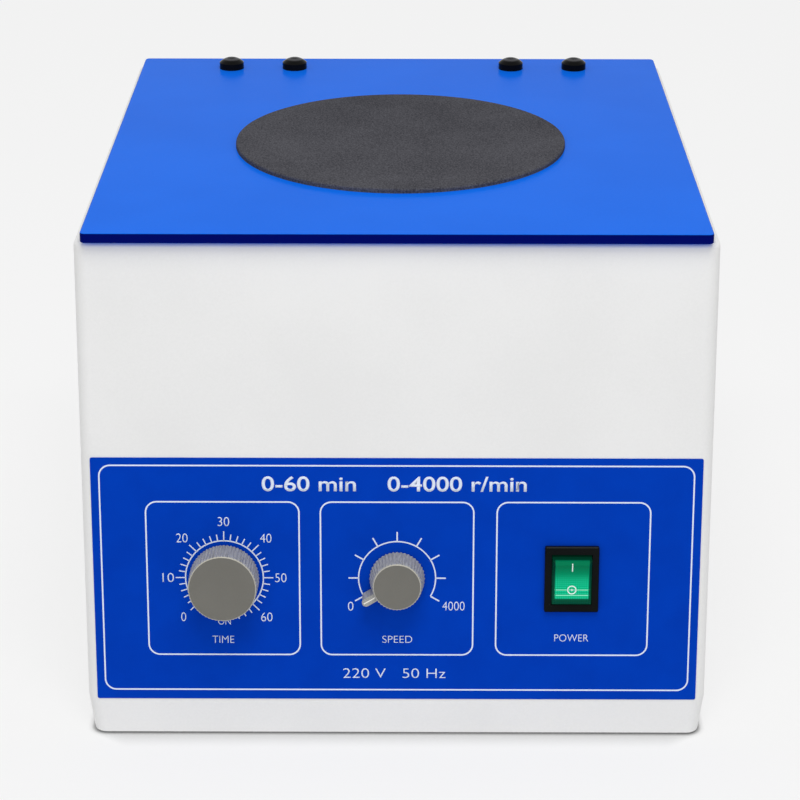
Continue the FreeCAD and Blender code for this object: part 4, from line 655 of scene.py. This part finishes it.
@dataclass(frozen=True)
class Palette:
    """Every finish on the centrifuge."""

    rotor_axis: Span
    lid_faces: Span

    def by_slot(self) -> dict[str, Finish]:
        """Finish for each of the record's material slots.

        Returns:
            Slot name to finish.
        """
        turned = {"grain": Grain.TURNED, "axis": self.rotor_axis}
        return {
            "white_paint": Finish("white_paint", (0.845, 0.845, 0.84), (0.885, 0.885, 0.88),
                                  (0.34, 0.42), 1.1 * MM, 0.6, 0.05, coat=0.1),
            "blue_paint": LidFinish("blue_gloss", (0.003, 0.147, 0.825), (0.006, 0.161, 0.875),
                                    (0.18, 0.24), 1.6 * MM, 0.8, 0.015, specular=0.011,
                                    heights=self.lid_faces),
            "label_film": Finish("blue_film", (0.0, 0.044, 0.46), (0.0, 0.051, 0.51),
                                 (0.46, 0.56), 0.35 * MM, 0.6, 0.04, specular=0.02),
            "black_plastic": Finish("black_plastic", (0.003, 0.004, 0.004), (0.006, 0.007, 0.007),
                                    (0.30, 0.40), 0.4 * MM, 0.5, 0.04, specular=0.04),
            "dark_plastic": Finish("dark_plastic", (0.02, 0.02, 0.022), (0.04, 0.04, 0.042),
                                   (0.5, 0.65), 0.5 * MM, 0.5, 0.2),
            "grey_plastic": Finish("grey_plastic", (0.17, 0.165, 0.145), (0.20, 0.19, 0.165),
                                   (0.45, 0.55), 0.4 * MM, 0.5, 0.1),
            "grey_rubber": Finish("grey_rubber", (0.038, 0.038, 0.045), (0.115, 0.115, 0.13),
                                  (0.8, 0.95), 0.8 * MM, 0.2, 0.7, specular=0.02),
            "black_rubber": Finish("black_rubber", (0.012, 0.012, 0.012), (0.03, 0.03, 0.03),
                                   (0.65, 0.8), 0.6 * MM, 0.5, 0.3, specular=0.3),
            "zinc_steel": Finish("zinc_steel", (0.50, 0.50, 0.49), (0.66, 0.66, 0.65),
                                 (0.30, 0.42), 0.8 * MM, 0.7, 0.1, metallic=1.0),
            "stainless": Finish("stainless", (0.52, 0.52, 0.52), (0.66, 0.66, 0.65),
                                (0.24, 0.38), 0.35 * MM, 0.3, 0.12, metallic=1.0,
                                grain=Grain.BRUSHED),
            "aluminium": Finish("turned_aluminium", (0.60, 0.61, 0.63), (0.76, 0.77, 0.78),
                                (0.26, 0.40), 0.4 * MM, 0.3, 0.12, metallic=1.0, **turned),
            "brass": Finish("brass", (0.60, 0.44, 0.18), (0.74, 0.56, 0.26), (0.28, 0.4),
                            0.5 * MM, 0.6, 0.08, metallic=1.0),
            "copper_like": Finish("turned_copper", (0.58, 0.28, 0.16), (0.72, 0.40, 0.26),
                                  (0.3, 0.42), 0.4 * MM, 0.4, 0.1, metallic=1.0, **turned),
            "dark_steel": Finish("dark_enamel", (0.03, 0.03, 0.034), (0.05, 0.05, 0.055),
                                 (0.4, 0.55), 0.9 * MM, 0.6, 0.12),
            "board_green": Finish("board_lacquer", (0.008, 0.10, 0.045), (0.02, 0.16, 0.07),
                                  (0.3, 0.4), 1.2 * MM, 0.4, 0.05, coat=0.3),
            "carbon": Finish("pressed_carbon", (0.012, 0.012, 0.012), (0.03, 0.03, 0.03),
                             (0.6, 0.8), 0.4 * MM, 0.4, 0.3),
        }

    def bowl(self) -> Finish:
        """Deep-drawn steel with rings from its polishing."""
        return Finish("polished_bowl", (0.58, 0.58, 0.58), (0.72, 0.72, 0.71), (0.2, 0.34),
                      0.5 * MM, 0.3, 0.08, metallic=1.0, grain=Grain.TURNED, axis=self.rotor_axis)

    def ink(self) -> Finish:
        """White screen ink with a faint lavender cast."""
        return Finish("white_ink", (0.76, 0.84, 1.0), (0.82, 0.88, 1.0), (0.5, 0.6), 0.3 * MM,
                      0.4, 0.02, specular=0.1)

    def clear_white(self) -> Finish:
        """White of the signs on the switch."""
        return Finish("clear_white", (0.82, 0.94, 0.90), (0.90, 0.99, 0.96), (0.4, 0.5),
                      0.3 * MM, 0.4, 0.05, specular=0.2)

    def warm_white(self) -> Finish:
        """White of the line inlaid in the pointer."""
        return Finish("warm_white", (0.86, 0.84, 0.76), (0.93, 0.91, 0.84), (0.4, 0.5),
                      0.3 * MM, 0.4, 0.05, specular=0.2)

    def dark_ink(self) -> Finish:
        """Black ink in engraved figures."""
        return Finish("dark_ink", (0.015, 0.015, 0.016), (0.04, 0.04, 0.042), (0.6, 0.7),
                      0.3 * MM, 0.5, 0.1)

    def mint(self) -> Finish:
        """Pale green marks moulded in the switch's rocker."""
        return Finish("mint_marks", (0.26, 0.90, 0.60), (0.44, 0.98, 0.74), (0.35, 0.45),
                      0.4 * MM, 0.5, 0.02)


# --- the panel's own frame ---------------------------------------------------------------
class Panel:
    """The leaning front face: X to the right, Y up the slope, Z out of the face.

    Its origin is on the cabinet's face, in the middle of the line of controls.
    """

    def __init__(self, joints: list[dict]) -> None:
        """Read the face's place and lean from the speed knob's joint."""
        turn = next(joint for joint in joints if joint["name"] == "speed_turn")
        out = -Vector(turn["axis"]).normalized()
        up = Vector((1, 0, 0)).cross(out) * -1
        origin = Vector((0.0, turn["pos_m"][1], turn["pos_m"][2]))
        turned = Matrix(((1, 0, 0), up, out)).transposed().to_4x4()
        self.matrix = Matrix.Translation(origin) @ turned

    def at(self, x: float, up: float, out: float) -> Matrix:
        """Frame with its origin at a place on the panel.

        Args:
            x: To the right of the cabinet's middle.
            up: Above the line of controls, along the slope.
            out: In front of the cabinet's face.

        Returns:
            The frame's matrix.
        """
        return self.matrix @ Matrix.Translation((x, up, out))


# --- sub-assemblies ----------------------------------------------------------------------
@dataclass
class SubAssembly:
    """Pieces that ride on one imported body."""

    body: str

    def keep(self, obj: bpy.types.Object, name: str, finish: Finish) -> bpy.types.Object:
        """Name a finished piece, give it its finish and let it ride.

        Args:
            obj: The piece, in place.
            name: Its name.
            finish: Its finish.

        Returns:
            The piece.
        """
        obj.name = name
        obj.data.name = name
        obj.data.materials.clear()
        obj.data.materials.append(finish.material())
        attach(obj, self.body)
        LOG.info("made %s, %d faces", name, len(obj.data.polygons))
        return obj


@dataclass(frozen=True)
class Word:
    """Words or figures printed flat, centred on a place of the panel."""

    text: str
    x: float
    up: float
    height: float
    width: float
    bold: float = -0.012

    def build(self) -> bpy.types.Object:
        """Give the word as a flat mesh."""
        return lettering(self.text, self.height, self.x, self.up, self.width, self.bold)


@dataclass
class Dial:
    """A printed scale round a knob.

    The ring is its starting angle and its sweep in degrees, and each tick its angle in
    degrees and its length.
    """

    x: float
    radius: float
    ring: Span
    ring_line: float
    ticks: list[Span]
    tick_line: float
    figures: list[Word]

    def build(self) -> list[bpy.types.Object]:
        """Draw the ring, its ticks and its figures.

        Returns:
            Flat objects in the panel's plane.
        """
        middle = Matrix.Translation((self.x, 0, 0))
        half = self.ring_line / 2
        ring = arc(self.radius - half, self.radius + half, self.ring[0], self.ring[1])
        place(ring, middle)
        drawn = [ring]
        masters: dict[float, bpy.types.Object] = {}
        for angle, length in self.ticks:
            if length not in masters:
                masters[length] = plate(length, self.tick_line, self.radius + length / 2)
            turn = Matrix.Rotation(math.radians(angle), 4, "Z")
            drawn.append(copied(masters[length], middle @ turn))
        for master in masters.values():
            activate(master)
            bpy.ops.object.delete()
        return drawn + [figure.build() for figure in self.figures]


@dataclass
class PanelPrinting(SubAssembly):
    """All the white ink on the panel's film."""

    panel: Panel
    palette: Palette
    film: float = 0.3 * MM
    ink_thickness: float = 0.05 * MM
    ink_sink: float = 0.01 * MM
    line: float = 0.70 * MM
    corner: float = 5.6 * MM
    border_size: Span = (279.0 * MM, 112.8 * MM)
    border_up: float = -0.6 * MM
    frame_size: Span = (72.7 * MM, 77.1 * MM)
    frame_up: float = -0.55 * MM
    frame_centres: tuple[float, float, float] = (-81.8 * MM, 0.25 * MM, 83.2 * MM)
    figure: float = 4.45 * MM
    figure_bold: float = -0.010
    timer_radius: float = 18.4 * MM
    timer_start: float = 225.0
    timer_turn: float = 9.0
    timer_steps: int = 34
    timer_ticks: Span = (4.7 * MM, 3.3 * MM)
    timer_figures: Span = (27.9 * MM, 26.6 * MM)
    speed_radius: float = 18.2 * MM
    speed_start: float = 210.0
    speed_turn: float = 30.0
    speed_steps: int = 9
    speed_tick: float = 4.8 * MM
    words: tuple[Word, ...] = (
        Word("TIME", -82.4 * MM, -31.1 * MM, 3.6 * MM, 10.4 * MM),
        Word("SPEED", 0.4 * MM, -30.9 * MM, 3.6 * MM, 14.2 * MM),
        Word("POWER", 83.2 * MM, -30.0 * MM, 3.6 * MM, 16.2 * MM),
        Word("0-60 min    0-4000 r/min", -1.1 * MM, 46.6 * MM, 7.4 * MM, 124 * MM, 0.012),
        Word("220 V   50 Hz", -1.0 * MM, -48.2 * MM, 4.9 * MM, 49.0 * MM),
    )

    def timer_dial(self) -> Dial:
        """Scale from 0 to 60 minutes, whose fine ticks run on past its last figure.

        A tick stands for 2 minutes, and every fifth up to the last figure is long.

        Returns:
            The dial.
        """
        long, short = self.timer_ticks
        ticks = [(self.timer_start - self.timer_turn * step,
                  long if step % 5 == 0 and step <= 30 else short)
                 for step in range(self.timer_steps)]
        far, near = self.timer_figures
        figures = []
        for step in range(7):
            angle = math.radians(self.timer_start - 5 * self.timer_turn * step)
            reach = near if step in (1, 5) else far
            width = (2.35 if step == 0 else 5.4) * MM
            figures.append(Word(str(10 * step), TIMER_X + reach * math.cos(angle),
                                reach * math.sin(angle), self.figure, width, self.figure_bold))
        figures.append(Word("ON", -81.7 * MM, -21.9 * MM, 3.4 * MM, 6.0 * MM, self.figure_bold))
        return Dial(x=TIMER_X, radius=self.timer_radius, ring=(-72.0, 297.0),
                    ring_line=0.60 * MM, ticks=ticks, tick_line=0.52 * MM, figures=figures)

    def speed_dial(self) -> Dial:
        """Scale from 0 to full speed.

        Returns:
            The dial.
        """
        ticks = [(self.speed_start - self.speed_turn * step, self.speed_tick)
                 for step in range(self.speed_steps)]
        figures = [
            Word("0", -21.7 * MM, -14.2 * MM, self.figure, 2.6 * MM, self.figure_bold),
            Word("4000", 27.0 * MM, -14.0 * MM, self.figure, 10.6 * MM, self.figure_bold),
        ]
        return Dial(x=SPEED_X, radius=self.speed_radius, ring=(-30.0, 240.0),
                    ring_line=0.62 * MM, ticks=ticks, tick_line=0.66 * MM, figures=figures)

    def build(self) -> None:
        """Draw every line and word flat, then lay the ink on the film."""
        drawn = [outlined_plate(*self.border_size, self.corner, self.line, 0.0, self.border_up)]
        for centre in self.frame_centres:
            drawn.append(outlined_plate(*self.frame_size, self.corner, self.line, centre,
                                        self.frame_up))
        drawn += self.timer_dial().build() + self.speed_dial().build()
        drawn += [word.build() for word in self.words]
        ink = joined(drawn)
        thicken(ink, Vector((0, 0, self.ink_thickness)))
        place(ink, self.panel.at(0, 0, self.film - self.ink_sink))
        self.keep(ink, "panel_printing", self.palette.ink())


@dataclass
class RockerMarks(SubAssembly):
    """ON and OFF signs and two moulded ribs on the switch's rocker."""

    panel: Panel
    palette: Palette
    start: float = 9 * MM
    sink: float = 0.02 * MM
    thickness: float = 0.06 * MM
    line: float = 0.5 * MM
    bar_length: float = 4.2 * MM
    bar_up: float = 7.4 * MM
    ring_radius: float = 2.2 * MM
    ring_up: float = -4.4 * MM
    dot: Span = (0.02 * MM, 0.5 * MM)
    rib: Span = (16.4 * MM, 0.36 * MM)
    rib_ups: Span = (-4.4 * MM, -7.1 * MM)

    def laid(self, parts: list[bpy.types.Object], cuts: int) -> bpy.types.Object:
        """Wrap flat marks on to the rocker's hollow face.

        Args:
            parts: Flat objects in the panel's plane, centred on the switch.
            cuts: How finely they are cut up, so that they follow its edges.

        Returns:
            One object that follows the face.
        """
        marks = joined(parts)
        with editing(marks):
            bpy.ops.mesh.subdivide(number_cuts=cuts)
        marks.matrix_world = self.panel.at(SWITCH_X, 0, self.start)
        wrap = marks.modifiers.new("follow_face", "SHRINKWRAP")
        wrap.target = frame["nodes"]["rocker"]
        wrap.wrap_method = "PROJECT"
        wrap.use_project_z = True
        wrap.use_positive_direction = False
        wrap.use_negative_direction = True
        activate(marks)
        bpy.ops.object.modifier_apply(modifier=wrap.name)
        out = self.panel.matrix.col[2].to_3d()
        place(marks, Matrix.Translation(out * -self.sink))
        thicken(marks, out * self.thickness)
        return marks

    def build(self) -> None:
        """Make the marks and the ribs."""
        bar = plate(self.line, self.bar_length, 0, self.bar_up)
        ring = arc(self.ring_radius - self.line, self.ring_radius, 0, 360)
        place(ring, Matrix.Translation((0, self.ring_up, 0)))
        dot = arc(*self.dot, 0, 360)
        place(dot, Matrix.Translation((0, self.ring_up, 0)))
        signs = joined([self.laid([bar], cuts=9), self.laid([ring, dot], cuts=1)])
        self.keep(signs, "rocker_signs", self.palette.clear_white())
        ribs = [plate(*self.rib, 0, up) for up in self.rib_ups]
        self.keep(self.laid(ribs, cuts=24), "rocker_ribs", self.palette.mint())


@dataclass
class PointerLine(SubAssembly):
    """White line along the speed knob's pointer."""

    panel: Panel
    palette: Palette
    angle: float = 211.0
    start: float = 11.9 * MM
    end: float = 18.2 * MM
    width: float = 0.55 * MM
    rounding: float = 0.3
    thickness: float = 0.06 * MM
    sink: float = 0.01 * MM
    height: float = 10.4 * MM

    def build(self) -> None:
        """Lay the line on the pointer's top."""
        line = plate(self.end - self.start, self.width, (self.start + self.end) / 2)
        with editing(line):
            bpy.ops.mesh.bevel(offset=self.width * self.rounding, affect="VERTICES", segments=3)
        thicken(line, Vector((0, 0, self.thickness)))
        turn = Matrix.Rotation(math.radians(self.angle), 4, "Z")
        place(line, self.panel.at(SPEED_X, 0, self.height - self.sink) @ turn)
        self.keep(line, "pointer_line", self.palette.warm_white())


@dataclass
class RotorNumbers(SubAssembly):
    """Place numbers on the rotor's dish, one for each sleeve."""

    palette: Palette
    places: int = 8
    radius: float = 33.0 * MM
    height: float = 6.0 * MM
    dish_radius: float = 56.0 * MM
    dish_height: float = 204.0 * MM
    tilt: float = 30.0
    sink: float = 0.02 * MM
    thickness: float = 0.08 * MM

    def build(self) -> None:
        """Set each figure on the slope in front of its sleeve."""
        surface = self.dish_height - (self.dish_radius - self.radius) * math.tan(
            math.radians(self.tilt))
        out = Matrix.Translation((self.radius, 0, surface - self.sink))
        slope = Matrix.Rotation(math.radians(-self.tilt), 4, "Y")
        stand = Matrix.Rotation(math.radians(-90), 4, "Z")
        axis = Matrix.Translation((*self.palette.rotor_axis, 0))
        figures = []
        for number in range(self.places):
            figure = lettering(str(number + 1), self.height, 0, 0)
            thicken(figure, Vector((0, 0, self.thickness)))
            turn = Matrix.Rotation(2 * math.pi * number / self.places, 4, "Z")
            place(figure, axis @ turn @ out @ slope @ stand)
            figures.append(figure)
        self.keep(joined(figures), "rotor_numbers", self.palette.dark_ink())


@dataclass
class PackedNodes:
    """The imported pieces, which keep their shapes and get their finishes here."""

    palette: Palette
    panel: Panel

    def special(self) -> dict[str, Finish]:
        """Finishes of the nodes that need more than their slot's.

        Returns:
            Node name to finish.
        """
        knob = {"low": (0.155, 0.15, 0.132), "high": (0.175, 0.17, 0.15), "bump": 0.08,
                "roughness": (0.4, 0.5), "grain_size": 0.4 * MM, "specular": 0.3}
        return {
            "chamber_bowl": self.palette.bowl(),
            "lid_bolt_caps": CapFinish("gloss_cap", (0.003, 0.003, 0.003), (0.006, 0.006, 0.006),
                                       (0.12, 0.18), 0.4 * MM, 0.5, 0.02, specular=0.06),
            "switch_housing": Finish("gloss_bezel", (0.002, 0.003, 0.003), (0.005, 0.006, 0.006),
                                     (0.22, 0.28), 0.4 * MM, 0.5, 0.02, specular=0.06),
            "timer_knob": KnobFinish("timer_knob_grey", where=self.panel.at(TIMER_X, 0, 0),
                                     face_height=16.4 * MM, **knob),
            "speed_knob": KnobFinish("speed_knob_grey", where=self.panel.at(SPEED_X, 0, 0),
                                     face_height=13.4 * MM, **knob),
            "rocker": LensFinish("green_lens", (0.0, 0.155, 0.065), (0.0, 0.35, 0.16),
                                 (0.2, 0.3), 0.8 * MM, 0.5, 0.03, specular=0.04,
                                 where=self.panel.at(SWITCH_X, 0, 0)),
            "hinge_pins": self.palette.by_slot()["zinc_steel"],
        }

    def dress(self) -> None:
        """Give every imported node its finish."""
        finishes = self.palette.by_slot()
        special = self.special()
        for part in frame["record"]["subparts"]:
            node = frame["nodes"][part["node"]]
            finish = special.get(part["node"]) or finishes[part["material_slot"]]
            if not node.material_slots:
                node.data.materials.append(None)
            for slot in node.material_slots:
                slot.material = finish.material()
            LOG.info("dressed %s in %s", node.name, finish.name)


# --- studio ------------------------------------------------------------------------------
@dataclass
class Softbox:
    """A square area lamp that points at the object."""

    name: str
    place: Rgb
    size: float
    power: float

    def build(self, target: Vector) -> None:
        """Hang the lamp and turn it to the target."""
        clear_selection()
        bpy.ops.object.light_add(type="AREA", location=self.place)
        lamp = bpy.context.object
        lamp.name = self.name
        lamp.data.size = self.size
        lamp.data.energy = self.power
        lamp.rotation_euler = (target - lamp.location).to_track_quat("-Z", "Y").to_euler()


@dataclass
class Studio:
    """Pale floor, even light and the camera.

    The floor shows its own glow, less a share of real light that falls off with the
    distance from the object. Two soft shades darken the glow round the object's foot:
    a broad one, which is short at the sides, and a thin dark seam.
    """

    backdrop: float = 0.912
    sky: float = 0.50
    floor_radius: float = 9.0
    floor_glow: float = 0.947
    floor_tone: float = 0.92
    real_light: Span = (0.24, 0.15)
    real_light_reach: Span = (0.16, 0.30)
    shade_samples: int = 8
    shade: Span = (14 * MM, 4 * MM)
    shade_reach: Span = (0.128, 0.144)
    seam: float = 2.2 * MM
    seam_power: float = 2.6
    camera_place: Rgb = (5.191 * MM, -1204.5 * MM, 605.75 * MM)
    yaw: float = -0.198
    pitch: float = 22.684
    roll: float = -0.05
    lens: float = 110.876
    sensor: float = 36.0
    clip_end: float = 50.0
    boxes: tuple[Softbox, ...] = (
        Softbox("overhead_box", (0.05, -0.75, 1.6), 0.8, 11.7),
        Softbox("front_box", (0.0, -2.4, 0.9), 1.8, 4.9),
    )

    def background_share(self, sheet: Sheet) -> bpy.types.NodeSocket:
        """1 for rays that show the backdrop itself, 0 for those that light the object."""
        path = sheet.add("ShaderNodeLightPath").outputs
        seen = sheet.math("MAXIMUM", path["Is Camera Ray"], path["Is Glossy Ray"])
        return sheet.math("MAXIMUM", seen, path["Is Transmission Ray"])

    def build_world(self) -> None:
        """Even grey light with a pale backdrop."""
        world = bpy.data.worlds.new("studio_world")
        bpy.context.scene.world = world
        world.use_nodes = True
        sheet = Sheet(world.node_tree)
        shader = world.node_tree.nodes["Background"]
        shade = sheet.mix(self.background_share(sheet), (self.sky,) * 3, (self.backdrop,) * 3)
        sheet.feed(shader, "Color", shade)

    def build_floor(self) -> None:
        """Pale floor that keeps a soft share of the shadow."""
        clear_selection()
        bpy.ops.mesh.primitive_circle_add(vertices=96, radius=self.floor_radius,
                                          fill_type="NGON", location=(0, 0, 0))
        floor = bpy.context.object
        floor.name = "floor"
        made = bpy.data.materials.new("pale_floor")
        made.use_nodes = True
        sheet = Sheet(made.node_tree)
        diffuse = made.node_tree.nodes["Principled BSDF"]
        diffuse.inputs["Base Color"].default_value = (*(self.floor_tone,) * 3, 1.0)
        diffuse.inputs["Roughness"].default_value = 1.0
        diffuse.inputs["Specular IOR Level"].default_value = 0.0
        x, y = (sheet.math("ABSOLUTE", axis) for axis in sheet.axes(sheet.place())[:2])
        samples = {"samples": self.shade_samples}
        shade = sheet.add("ShaderNodeAmbientOcclusion", samples,
                          Distance=sheet.ramp(x, *self.shade_reach, *self.shade))
        seam = sheet.add("ShaderNodeAmbientOcclusion", samples, Distance=self.seam)
        strength = sheet.math("MULTIPLY", self.floor_glow,
                              sheet.math("POWER", seam.outputs["AO"], self.seam_power))
        glow = sheet.add("ShaderNodeEmission", Color=shade.outputs["Color"], Strength=strength)
        lit = sheet.ramp(sheet.math("MAXIMUM", x, y), *self.real_light_reach, *self.real_light)
        share = sheet.math("MULTIPLY", self.background_share(sheet),
                           sheet.math("SUBTRACT", 1.0, lit))
        blend = sheet.add("ShaderNodeMixShader")
        sheet.feed(blend, 0, share)
        sheet.feed(blend, 1, diffuse.outputs[0])
        sheet.feed(blend, 2, glow.outputs[0])
        sheet.feed(made.node_tree.nodes["Material Output"], 0, blend.outputs[0])
        floor.data.materials.append(made)

    def build_camera(self) -> None:
        """Camera at the view's place, turned by its yaw, pitch and roll."""
        yaw, pitch, roll = (math.radians(a) for a in (self.yaw, self.pitch, self.roll))
        forward = Vector((math.sin(yaw) * math.cos(pitch), math.cos(yaw) * math.cos(pitch),
                          -math.sin(pitch)))
        right = Vector((math.cos(yaw), -math.sin(yaw), 0))
        down = forward.cross(right)
        across = right * math.cos(roll) + down * math.sin(roll)
        below = -right * math.sin(roll) + down * math.cos(roll)
        clear_selection()
        bpy.ops.object.camera_add(location=self.camera_place)
        camera = bpy.context.object
        camera.rotation_euler = Matrix((across, -below, -forward)).transposed().to_euler()
        camera.data.lens = self.lens
        camera.data.sensor_width = self.sensor
        camera.data.clip_end = self.clip_end
        bpy.context.scene.camera = camera

    def build(self) -> None:
        """Set up the backdrop, the lamps and the camera."""
        low, high = CAD_BOX
        for softbox in self.boxes:
            softbox.build((low + high) / 2)
        self.build_world()
        self.build_floor()
        self.build_camera()
        bpy.context.scene.view_settings.view_transform = "Standard"


def main() -> None:
    """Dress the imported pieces, add the fine pieces and set up the studio."""
    logging.basicConfig(level=logging.INFO, format="%(message)s")
    spin = next(j for j in frame["joints"] if j["name"] == "rotor_spin")
    lid_faces = tuple(corner.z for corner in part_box("lid_plate"))
    palette = Palette((spin["pos_m"][0], spin["pos_m"][1]), lid_faces)
    panel = Panel(frame["joints"])
    PackedNodes(palette, panel).dress()
    PanelPrinting("cabinet", panel, palette).build()
    RockerMarks("switch_rocker", panel, palette).build()
    PointerLine("speed_knob", panel, palette).build()
    RotorNumbers("rotor", palette).build()
    Studio().build()
    clear_selection()


if __name__ == "__main__":
    main()
